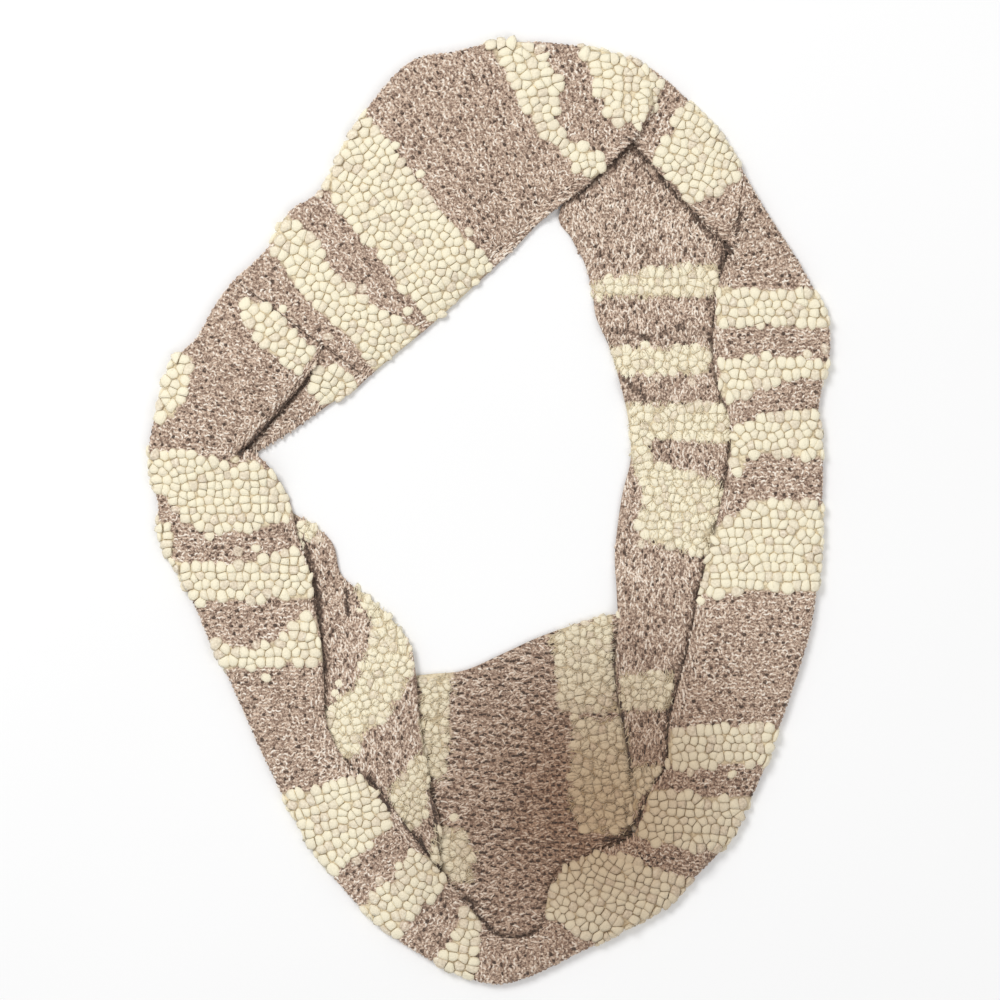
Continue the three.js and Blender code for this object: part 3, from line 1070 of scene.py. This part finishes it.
@dataclass(frozen=True)
class GroundKnit:
    """The ground behind stitches and bobbles, in painted shade: dark marl, or shaded cream in the
    stripes.
    """

    stitch: float = 4.0
    stitch_share: float = 0.8
    fibre: float = 1.2
    fibre_share: float = 0.4
    marl: float = 1.9
    cream: float = 2.4
    strength: float = 0.7
    depth: float = 1.0
    roughness: float = 0.92

    def material(self) -> bpy.types.Material:
        """Make the finish.

        Returns:
            The material.
        """
        graph = Graph("ground_knit")
        marl = graph.ramp(graph.noise(self.marl), SHADED_MARL_RAMP)
        deep = graph.ramp(graph.noise(self.cream), SHADED_CREAM_RAMP)
        colour = graph.mix(graph.attribute("cream"), marl, deep)
        # Painted shade along the hollow lines and beside the upper layer's edge, by the shade mark.
        colour = graph.painted_shadow(graph.mix(graph.attribute("shade"), colour, linear(SHADE_PLY)))
        inputs = {"Vector": graph.place(), "Scale": 1 / (self.stitch * MM)}
        cells = Signal(graph, graph.add("ShaderNodeTexVoronoi", {}, inputs).outputs["Distance"])
        loops = (1 - cells) * self.stitch_share + graph.noise(self.fibre) * self.fibre_share
        return graph.finish({
            "Base Color": colour,
            "Roughness": self.roughness,
            "Normal": graph.bump(loops, self.strength, self.depth),
        })


@dataclass(frozen=True)
class PaleFloor:
    """A plain pale floor with hardly any unevenness."""

    spot: float = 400.0
    roughness: float = 0.9
    gloss: float = 0.1

    def material(self) -> bpy.types.Material:
        """Make the finish.

        Returns:
            The material.
        """
        graph = Graph("pale_floor")
        return graph.finish({
            "Base Color": graph.ramp(graph.noise(self.spot), FLOOR_RAMP),
            "Roughness": self.roughness,
            "Specular IOR Level": self.gloss,
        })


def put(name: str, data: Any) -> bpy.types.Object:
    """Put an object with its data in the scene.

    Args:
        name: the object's name.
        data: its mesh, light or camera.

    Returns:
        The object.
    """
    thing = bpy.data.objects.new(name, data)
    bpy.context.collection.objects.link(thing)
    return thing


def put_mesh(name: str, mesh: bmesh.types.BMesh, finish: bpy.types.Material) -> bpy.types.Object:
    """Make a piece of a bmesh, and free the bmesh.

    Args:
        name: the piece's name.
        mesh: its form.
        finish: its material.

    Returns:
        The piece.
    """
    data = bpy.data.meshes.new(name)
    mesh.to_mesh(data)
    mesh.free()
    data.materials.append(finish)
    return put(name, data)


class Shape:
    """A small closed form that is repeated many times in one mesh."""

    def __init__(self, mesh: bmesh.types.BMesh) -> None:
        """Keep the form's points and triangles, and free the mesh that it came from.

        Args:
            mesh: the form.
        """
        # Each quad is split from its lowest corner, so that every run gives the same form.
        for face in mesh.faces[:]:
            ring = face.verts[:]
            if len(ring) == 4:
                first = ring.index(min(ring, key=lambda vert: vert.co[:]))
                bmesh.utils.face_split(face, ring[first], ring[first - 2])
        bmesh.ops.recalc_face_normals(mesh, faces=mesh.faces)
        mesh.verts.index_update()
        self.points = np.array([vert.co[:] for vert in mesh.verts])
        self.triangles = np.array([[vert.index for vert in face.verts] for face in mesh.faces])
        # Each point's height in its form, by which the bobble finish paints shade low in the gaps.
        low, high = self.points[:, 2].min(), self.points[:, 2].max()
        self.depth = (self.points[:, 2] - low) / (high - low)
        mesh.free()

    @classmethod
    def bobble(cls, seed: int, detail: int) -> "Shape":
        """Make an uneven, slightly boxy bobble with a radius of about one.

        Args:
            seed: which of the uneven forms it is.
            detail: how finely it is divided.

        Returns:
            The form.
        """
        mesh = bmesh.new()
        bmesh.ops.create_icosphere(mesh, subdivisions=detail, radius=1.0)
        offset = Vector((seed * LUMP_STEP, 0, 0))
        for vert in mesh.verts:
            flatness = (vert.co.xy.length ** FLAT_TOP + abs(vert.co.z) ** FLAT_TOP) ** (1 / FLAT_TOP)
            vert.co *= (1 + LUMPS * noise.noise(vert.co * LUMPINESS + offset)) / flatness
        return cls(mesh)

    @classmethod
    def strand(
        cls, bend: float, arc: float, thickness: float, tilt: float = 0, sides: int = 4, steps: int = 3
    ) -> "Shape":
        """Make a short bent length of yarn, its chord along X and its bulge towards Y.

        Args:
            bend: the radius of its bend.
            arc: how far round it goes, in degrees.
            thickness: the radius of the yarn.
            tilt: how much the bulge is lifted, in degrees.
            sides: how many sides its section has.
            steps: how many straight lengths it is made of.

        Returns:
            The form, its middle at the origin.
        """
        mesh = bmesh.new()
        made = bmesh.ops.create_circle(mesh, cap_ends=True, segments=sides, radius=thickness)
        upright = Matrix.Rotation(math.radians(90), 4, "X")
        bmesh.ops.transform(mesh, matrix=upright, verts=made["verts"])
        bmesh.ops.translate(mesh, vec=(bend, 0, 0), verts=made["verts"])
        start = Matrix.Rotation(math.radians(90 - arc / 2), 4, "Z")
        bmesh.ops.transform(mesh, matrix=start, verts=made["verts"])
        bmesh.ops.spin(
            mesh, geom=mesh.faces[:], cent=(0, 0, 0), axis=(0, 0, 1),
            angle=math.radians(arc), steps=steps, use_merge=False,
        )
        bmesh.ops.remove_doubles(mesh, verts=mesh.verts, dist=MERGE)
        middle = bend * (1 + math.cos(math.radians(arc / 2))) / 2
        bmesh.ops.translate(mesh, vec=(0, -middle, 0), verts=mesh.verts)
        lifted = Matrix.Rotation(math.radians(tilt), 4, "X")
        bmesh.ops.transform(mesh, matrix=lifted, verts=mesh.verts)
        return cls(mesh)


@dataclass
class Copies:
    """Where and how often a form is repeated."""

    shape: Shape
    place: np.ndarray
    frames: np.ndarray
    open_to_side: np.ndarray
    marks: dict[str, np.ndarray]
    ways: np.ndarray | None = None

    @classmethod
    def on(
        cls, shape: Shape, spots: Spots, lift: float, size: np.ndarray, turn: np.ndarray,
        marks: dict[str, np.ndarray], ways: np.ndarray | None = None,
    ) -> "Copies":
        """Set a form on spots of the cloth.

        Args:
            shape: the form.
            spots: where it goes.
            lift: how far above the ground cloth's face its own middle lies.
            size: three scales for each spot.
            turn: the angle about the outward direction for each spot.
            marks: numbers that each copy keeps, by name.
            ways: the ways to each copy's neighbours, where they press on each other.

        Returns:
            The copies.
        """
        cosine, sine = np.cos(turn)[:, None], np.sin(turn)[:, None]
        side = spots.across * cosine + spots.along * sine
        ahead = spots.along * cosine - spots.across * sine
        axes = np.stack([side, ahead, spots.out], axis=2)
        open_to_side = np.clip(OPEN_START - OPEN_PACE * spots.out[:, 2], 0, 1)
        place = spots.place + spots.out * (GROUND / 2 + lift)
        return cls(shape, place, axes * size[:, None, :], open_to_side, marks, ways)

    def spread(self) -> np.ndarray:
        """Flatten every copy where it meets its neighbours.

        Returns:
            The points of each copy, about its own place.
        """
        points = np.einsum("nij,vj->nvi", self.frames, self.shape.points)
        if self.ways is None:
            return points
        for way in np.moveaxis(self.ways, 1, 0):
            far = np.linalg.norm(way, axis=1, keepdims=True)
            toward = (way / far)[:, None, :]
            past = (points * toward).sum(axis=2) - np.maximum(far / 2 - SEAM, LEAST_HALF)
            points = points - np.maximum(past, 0)[..., None] * toward
        return points


def join_copies(name: str, groups: list[Copies], finish: bpy.types.Material) -> bpy.types.Object:
    """Make one mesh of many small forms.

    Args:
        name: the piece's name.
        groups: the copies of each form.
        finish: its material.

    Returns:
        The piece.
    """
    points, triangles, marks, total = [], [], {}, 0
    for group in groups:
        placed = (group.place[:, None, :] + group.spread()).reshape(-1, 3)
        number = len(group.shape.points)
        offsets = total + np.arange(len(group.place)) * number
        triangles.append((group.shape.triangles[None] + offsets[:, None, None]).reshape(-1, 3))
        points.append(placed)
        total += len(placed)
        each = {key: np.repeat(values, number) for key, values in group.marks.items()}
        # Low points of a form are painted in shade, except on forms that lean over an outer fold.
        open_to_side = np.repeat(group.open_to_side, number)
        each["depth"] = np.maximum(np.tile(group.shape.depth, len(group.place)), open_to_side)
        for key, values in each.items():
            marks.setdefault(key, []).append(values)
    joined = np.concatenate(points)
    joined[:, 2] = np.maximum(joined[:, 2], LOWEST)
    corners = np.concatenate(triangles)
    mesh = bpy.data.meshes.new(name)
    mesh.vertices.add(len(joined))
    mesh.vertices.foreach_set("co", (joined * MM).ravel())
    mesh.loops.add(corners.size)
    mesh.loops.foreach_set("vertex_index", corners.ravel())
    mesh.polygons.add(len(corners))
    mesh.polygons.foreach_set("loop_start", np.arange(len(corners)) * 3)
    mesh.update(calc_edges=True)
    mesh.polygons.foreach_set("use_smooth", np.ones(len(corners), dtype=bool))
    for key, values in marks.items():
        layer = mesh.attributes.new(key, "FLOAT", "POINT")
        layer.data.foreach_set("value", np.concatenate(values))
    mesh.validate()
    mesh.materials.append(finish)
    return put(name, mesh)


@dataclass(frozen=True)
class Bobbles:
    """How the bobbles of one side are spread and shaped, in millimetres."""

    pitch: Point = (6.5, 6.5)
    wobble: float = 1.1
    radius: float = 5.0
    height: float = 2.0
    detail: int = 2
    # The least depth at which the painted gap shade is read, to keep gaps paler where fuzz fills them.
    paler_gaps: float = 0.0


# The bobbles of each side.
BOBBLES = {
    Side.BOBBLED: Bobbles(),
    Side.SMOOTH: Bobbles(pitch=(6.3, 6.1), wobble=1.3, radius=4.8, height=1.15, paler_gaps=0.6),
    Side.TABLE: Bobbles(height=1.1, detail=1),
}


@dataclass(frozen=True)
class Knit:
    """Sizes of the knit in millimetres, its scales and shares, and its turns in radians."""

    ground_margin: float = 2.6
    bobble_margin: float = 2.0
    bobble_kinds: int = 5
    bobble_slip: float = 0.25
    bobble_scales: Range = (0.87, 1.16)
    bobble_sway: float = 0.4
    hem_bobble: float = 0.45
    neighbours: int = 8
    pressing: Range = (0.9, 1.07)
    fleck: float = 0.5
    fleck_rarity: int = 4
    stray_share: float = 0.12
    stray_reach: float = 9.0
    stray_scale: float = 0.72
    taupe_strays: float = 0.35
    stray_taupe: float = 0.7
    stitch_margin: float = 2.2
    stitch_scales: Range = (0.85, 1.2)
    loop_pitch: Point = (3.1, 3.1)
    loop_wobble: float = 0.45
    loop_sway: float = 0.55
    loop_lift: float = -0.1
    leg_pitch: Point = (3.9, 3.5)
    leg_wobble: float = 0.4
    leg_apart: float = 0.95
    leg_lean: float = 0.36
    leg_sway: float = 0.26
    leg_lift: float = 0.1
    missing_legs: float = 0.08
    thread_pitch: Point = (3.5, 3.3)
    thread_wobble: float = 1.8
    thread_scales: Range = (0.75, 1.2)
    thread_lean: float = 0.5
    thread_sway: float = 0.4
    thread_lift: float = 1.2
    roll: float = 11.0
    roll_shares: Range = (0.5, 1)
    smooth_roll_shares: Range = (0, 0.7)
    roll_scales: Range = (0.85, 1.25)
    roll_sway: float = 0.2
    hole_share: float = 0.42
    smooth_hole_share: float = 0.4
    hole_size: tuple[float, float, float] = (1.4, 1.1, 0.5)
    smooth_hole_size: tuple[float, float, float] = (0.8, 1.7, 0.5)
    hole_scales: Range = (0.6, 1.4)
    hole_lift: float = 0.2
    # Painted shade: the tint of the dark forms in holes, and how far hollows and edges darken a
    # stitch.
    hole_shade_tint: float = -0.9
    shade_tint: float = 1.6


@dataclass
class Finishes:
    """The materials that the pieces share."""

    ground: bpy.types.Material = field(default_factory=lambda: GroundKnit().material())
    yarn: bpy.types.Material = field(default_factory=lambda: MarledYarn().material())
    bobble: bpy.types.Material = field(default_factory=lambda: BobbleYarn().material())


@dataclass
class Stretch:
    """One stretch of the band: its ground cloth, its bobbles and its stitches."""

    name: str
    courses: list[Course]
    seed: int
    slot: str = "marled_knit"
    rests_on: tuple[str, ...] = ()
    inset: float = FOLD_INSET
    knit: Knit = field(default_factory=Knit)

    def build(self, finishes: Finishes) -> list[bpy.types.Object]:
        """Args:
            finishes: the shared materials.

        Returns:
            The pieces.
        """
        self.surface = Surface(self.courses, self.inset)
        self.rng = np.random.default_rng(self.seed)
        cloth = self._cloth(finishes.ground)
        bobbles = join_copies(f"{self.name}_bobbles", self._bobbles(), finishes.bobble)
        stitches = join_copies(f"{self.name}_stitches", self._stitches(), finishes.yarn)
        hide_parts(self.name)
        self.slot
        width = self.surface.width()
        flat = (width * MM, self.surface.area() / width * MM)
        self.rests_on
        log.info("%s: flat %.0f x %.0f mm", self.name, flat[0] / MM, flat[1] / MM)
        return [cloth, bobbles, stitches]

    def _cloth(self, finish: bpy.types.Material) -> bpy.types.Object:
        """Make the ground as a thin shell round the fold.

        Args:
            finish: its material.

        Returns:
            The piece.
        """
        surface = self.surface
        rows, columns = surface.points.shape[:2]
        mesh = bmesh.new()
        mesh.loops.layers.uv.new("UVMap")
        cream = mesh.verts.layers.float.new("cream")
        shade = mesh.verts.layers.float.new("shade")
        bmesh.ops.create_grid(
            mesh, x_segments=rows - 1, y_segments=columns - 1, size=1.0, calc_uvs=True
        )
        flat = np.array([vert.co[:2] for vert in mesh.verts])
        j = np.rint((flat[:, 0] + 1) / 2 * (rows - 1)).astype(int)
        k = np.rint((flat[:, 1] + 1) / 2 * (columns - 1)).astype(int)
        # Painted shade along the hollow lines and on the lower layer beside the upper layer's edge.
        depth = hollow_shade(surface.points[j, k, 0], surface.points[j, k, 1])
        below_edge = edge_shade(surface.shown(surface.reach[j]) - surface.reach[j, k])
        depth = np.where(k < surface.fold_start, np.maximum(depth, below_edge), depth)
        upper = k >= surface.fold_middle
        top = surface.cream_at(Side.BOBBLED, j, k, self.knit.ground_margin)
        below = surface.cream_at(Side.TABLE, j, k)
        shares = np.where(upper, top, below).astype(float)
        for vert, row, column, share, dark in zip(mesh.verts, j, k, shares, depth):
            vert.co = Vector(surface.points[row, column]) * MM
            vert[cream] = share
            vert[shade] = dark
        mesh.normal_update()
        onto_top = (surface.fold_end + columns) // 2
        probe = next(v for v, a, b in zip(mesh.verts, j, k) if a == rows // 2 and b == onto_top)
        if probe.normal.z < 0:
            bmesh.ops.reverse_faces(mesh, faces=mesh.faces)
        for face in mesh.faces:
            face.smooth = True
        piece = put_mesh(f"{self.name}_cloth", mesh, finish)
        wall = piece.modifiers.new("wall", "SOLIDIFY")
        wall.thickness = GROUND * MM
        wall.offset = 0.0
        return piece

    def _bobbles(self) -> list[Copies]:
        """Set the bobbles of the cream stripes on every side."""
        return [copies for side in BOBBLES for copies in self._bobbles_on(side)]

    def _bobbles_on(self, side: Side) -> list[Copies]:
        """Set the bobbles of one side.

        Args:
            side: the face of the cloth.

        Returns:
            The copies of each kind of bobble.
        """
        knit, rng, bobble = self.knit, self.rng, BOBBLES[side]
        spots = self.surface.lattice(
            side, bobble.pitch, bobble.wobble, rng, knit.bobble_slip, knit.bobble_margin
        )
        if not len(spots):
            return []
        angle = rng.uniform(0, 2 * np.pi, len(spots))
        x = spots.place[:, 0] + knit.stray_reach * np.cos(angle)
        y = spots.place[:, 1] + knit.stray_reach * np.sin(angle)
        near = covered(CREAM_SMOOTH if side is Side.SMOOTH else CREAM_BOBBLED, x, y)
        stray = near & ~spots.cream & (rng.random(len(spots)) < knit.stray_share)
        spots = spots.take(spots.cream | stray)
        count = len(spots)
        size = rng.uniform(*knit.bobble_scales, (count, 3))
        size *= np.array([bobble.radius, bobble.radius, bobble.height])
        size[:, 0] *= np.clip(spots.from_hem / bobble.radius, knit.hem_bobble, 1)
        size[:, 1] *= spots.spread
        lone = ~spots.cream
        size[lone] *= knit.stray_scale
        flecks = knit.fleck * rng.random(count) ** knit.fleck_rarity
        taupe = lone * (rng.random(count) < knit.taupe_strays) * knit.stray_taupe
        marks = {
            "taupe": np.maximum(flecks, taupe),
            "shade": hollow_shade(spots.place[:, 0], spots.place[:, 1]),
        }
        turn = rng.normal(0, knit.bobble_sway, count)
        ways = spots.ways(knit.neighbours)
        ways = ways * rng.uniform(*knit.pressing, (*ways.shape[:2], 1))
        kinds = rng.integers(knit.bobble_kinds, size=count)
        groups = []
        for kind in range(knit.bobble_kinds):
            own = kinds == kind
            kept = {name: values[own] for name, values in marks.items()}
            shape = Shape.bobble(kind, bobble.detail)
            copies = Copies.on(shape, spots.take(own), 0, size[own], turn[own], kept, ways[own])
            # Less painted shade in the gaps of this side's bobbles.
            copies.open_to_side = np.maximum(copies.open_to_side, bobble.paler_gaps)
            groups.append(copies)
        return groups

    def _stitches(self) -> list[Copies]:
        """Set the stitches of both sides, and the threads on the cream's smooth side.

        Returns:
            The copies of each kind of stitch.
        """
        leg = Shape.strand(bend=7.0, arc=40, thickness=0.75)
        groups = [*self._loops(leg), *self._legs(leg), self._threads()]
        return [group for group in groups if len(group.place)]

    def _loops(self, leg: Shape) -> list[Copies]:
        """Set the bobbled side's loops, painted shade in the holes between them, and the rolled hem.

        Args:
            leg: the form of the hem's stitches.

        Returns:
            The hole shades, the hem and the loops.
        """
        knit, rng = self.knit, self.rng
        spots = self.surface.lattice(
            Side.BOBBLED, knit.loop_pitch, knit.loop_wobble, rng, margin=knit.stitch_margin
        )
        holes = (spots.course % 2 == 0) & (spots.wale % 2 == 0)
        holes &= rng.random(len(spots)) < knit.hole_share
        dark = self._hole_shades(spots.take(~spots.cream & holes), knit.hole_size)
        rolled = spots.from_hem < knit.roll * rng.uniform(*knit.roll_shares, len(spots))
        hem = self._rolled(leg, spots.take(~spots.cream & rolled))
        spots = spots.take(~spots.cream & ~holes & ~rolled)
        count = len(spots)
        size = rng.uniform(*knit.stitch_scales, (count, 3))
        size[:, 1] *= spots.spread
        turn = rng.normal(0, knit.loop_sway, count) + np.pi * (rng.random(count) < 0.5)
        loop = Shape.strand(bend=1.6, arc=150, thickness=0.8, tilt=22)
        return [dark, hem, self._yarn(loop, spots, knit.loop_lift, size, turn)]

    def _legs(self, leg: Shape) -> list[Copies]:
        """Set the smooth side's pairs of leaning stitches, painted shade in its holes, and its rolled
        edge.

        Args:
            leg: the form of a stitch.

        Returns:
            The edge, the hole shades and the legs that lean either way.
        """
        knit, rng = self.knit, self.rng
        spots = self.surface.lattice(
            Side.SMOOTH, knit.leg_pitch, knit.leg_wobble, rng, margin=knit.stitch_margin
        )
        holes = (spots.course + spots.wale) % 2 == 0
        holes &= rng.random(len(spots)) < knit.smooth_hole_share
        rolled = spots.from_hem < knit.roll * rng.uniform(*knit.smooth_roll_shares, len(spots))
        groups = [
            self._rolled(leg, spots.take(~spots.cream & rolled)),
            self._hole_shades(spots.take(~spots.cream & holes), knit.smooth_hole_size),
        ]
        spots = spots.take(~spots.cream & ~holes & ~rolled)
        for lean in (-1, 1):
            kept = spots.take(rng.random(len(spots)) > knit.missing_legs)
            count = len(kept)
            kept.place = kept.place + kept.across * lean * knit.leg_apart
            size = rng.uniform(*knit.stitch_scales, (count, 3))
            turn = np.pi / 2 + lean * knit.leg_lean + rng.normal(0, knit.leg_sway, count)
            groups.append(self._yarn(leg, kept, knit.leg_lift, size, turn))
        return groups

    def _threads(self) -> Copies:
        """Set the fine threads over the cream's flatter bobbles on the smooth side.

        Returns:
            The threads.
        """
        knit, rng = self.knit, self.rng
        spots = self.surface.lattice(Side.SMOOTH, knit.thread_pitch, knit.thread_wobble, rng)
        spots = spots.take(spots.cream)
        count = len(spots)
        size = rng.uniform(*knit.thread_scales, (count, 3))
        lean = rng.choice((-knit.thread_lean, knit.thread_lean), count)
        turn = np.pi / 2 + lean + rng.normal(0, knit.thread_sway, count)
        marks = {"tint": rng.random(count), "cream": np.ones(count)}
        thread = Shape.strand(bend=7.0, arc=40, thickness=0.36, sides=3, steps=2)
        return Copies.on(thread, spots, knit.thread_lift, size, turn, marks)

    def _rolled(self, leg: Shape, spots: Spots) -> Copies:
        """Set the yarn that runs along a rolled edge.

        Args:
            leg: the form of a straight stitch.
            spots: where they are.

        Returns:
            The stitches.
        """
        size = self.rng.uniform(*self.knit.roll_scales, (len(spots), 3))
        turn = np.pi / 2 + self.rng.normal(0, self.knit.roll_sway, len(spots))
        return self._yarn(leg, spots, self.knit.leg_lift, size, turn)

    def _yarn(
        self, shape: Shape, spots: Spots, lift: float, size: np.ndarray, turn: np.ndarray
    ) -> Copies:
        """Set stitches of the marled yarn, in painted shade where they lie between two layers or past
        an edge.

        Args:
            shape: the form of a stitch.
            spots: where they are.
            lift: how far above the ground cloth they lie.
            size: three scales for each.
            turn: the angle of each about the outward direction.

        Returns:
            The stitches.
        """
        depth = hollow_shade(spots.place[:, 0], spots.place[:, 1])
        depth = np.maximum(depth, edge_shade(spots.past_edge))
        tint = self.rng.random(len(spots)) - self.knit.shade_tint * depth
        marks = {"tint": tint, "cream": np.zeros(len(spots))}
        return Copies.on(shape, spots, lift, size, turn, marks)

    def _hole_shades(self, spots: Spots, sizes: tuple[float, float, float]) -> Copies:
        """Set small dark forms as painted shade in the holes between stitches.

        Args:
            spots: where they are.
            sizes: their half length across, along and outwards.

        Returns:
            The dark forms in the holes.
        """
        count = len(spots)
        size = self.rng.uniform(*self.knit.hole_scales, (count, 3)) * np.array(sizes)
        marks = {"tint": np.full(count, self.knit.hole_shade_tint), "cream": np.zeros(count)}
        lift = self.knit.hole_lift
        return Copies.on(Shape.bobble(0, 1), spots, lift, size, np.zeros(count), marks)


@dataclass(frozen=True)
class Lamp:
    """A soft square light that faces the scarf, in metres and watts."""

    name: str
    place: tuple[float, float, float]
    size: float
    power: float

    def build(self) -> None:
        """Hang the light."""
        lamp = bpy.data.lights.new(self.name, "AREA")
        lamp.size = self.size
        lamp.energy = self.power
        light = put(self.name, lamp)
        light.location = self.place
        light.rotation_euler = Vector(self.place).to_track_quat("Z", "Y").to_euler()


@dataclass(frozen=True)
class Studio:
    """The floor, the soft lights and the camera above the scarf, in metres.

    The lens and the sensor are in millimetres.
    """

    view: float = 0.74
    lens: float = 85.0
    sensor: float = 36.0
    middle: Point = (0.0074, 0.0078)
    floor_half: float = 4.0
    floor_drop: float = 0.0002
    glow: float = 0.53
    lamps: tuple[Lamp, ...] = (
        Lamp("key", (-1.5, 1.7, 2.6), size=1.3, power=62.0),
        Lamp("fill", (1.8, -1.4, 2.8), size=2.2, power=26.0),
    )

    def build(self) -> None:
        """Set everything up."""
        mesh = bmesh.new()
        bmesh.ops.create_grid(mesh, x_segments=2, y_segments=2, size=self.floor_half)
        bmesh.ops.translate(mesh, vec=(0, 0, -self.floor_drop), verts=mesh.verts)
        floor = put_mesh("floor", mesh, PaleFloor().material())
        floor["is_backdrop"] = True
        for lamp in self.lamps:
            lamp.build()
        world = bpy.data.worlds.new("studio")
        world.use_nodes = True
        back = world.node_tree.nodes["Background"]
        back.inputs["Color"].default_value = WHITE
        back.inputs["Strength"].default_value = self.glow
        scene = bpy.context.scene
        scene.world = world
        scene.view_settings.view_transform = "Standard"
        lens = bpy.data.cameras.new("camera")
        lens.lens = self.lens
        lens.sensor_width = self.sensor
        camera = put("camera", lens)
        camera.location = (*self.middle, self.view * self.lens / self.sensor)
        scene.camera = camera


def main() -> None:
    """Build the scarf and the studio, and measure both sizes."""
    logging.basicConfig(level=logging.INFO, format="%(message)s")
    finishes = Finishes()
    stretches = [
        Stretch("upper_left_stretch", UPPER_LEFT, seed=11),
        Stretch("top_turn", TOP_TURN, seed=12),
        Stretch("right_stretch", RIGHT, seed=13, rests_on=("bottom_stretch",)),
        Stretch("bottom_stretch", BOTTOM, seed=14, knit=Knit(smooth_hole_share=0.85)),
        Stretch("left_stretch", LEFT, seed=15, rests_on=("bottom_stretch", "left_tuck")),
        Stretch("left_tuck", LEFT_TUCK, seed=16, slot="bobble_knit", inset=TUCK_INSET),
    ]
    for stretch in stretches:
        for piece in stretch.build(finishes):
            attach(piece, "root")
            log.info("%s: %d faces", piece.name, len(piece.data.polygons))
    Studio().build()
    sizes = {"cad": CAD_BOX, "visual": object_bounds()}
    plain = {key: [[float(value) for value in corner] for corner in box] for key, box in sizes.items()}


if __name__ == "__main__":
    main()
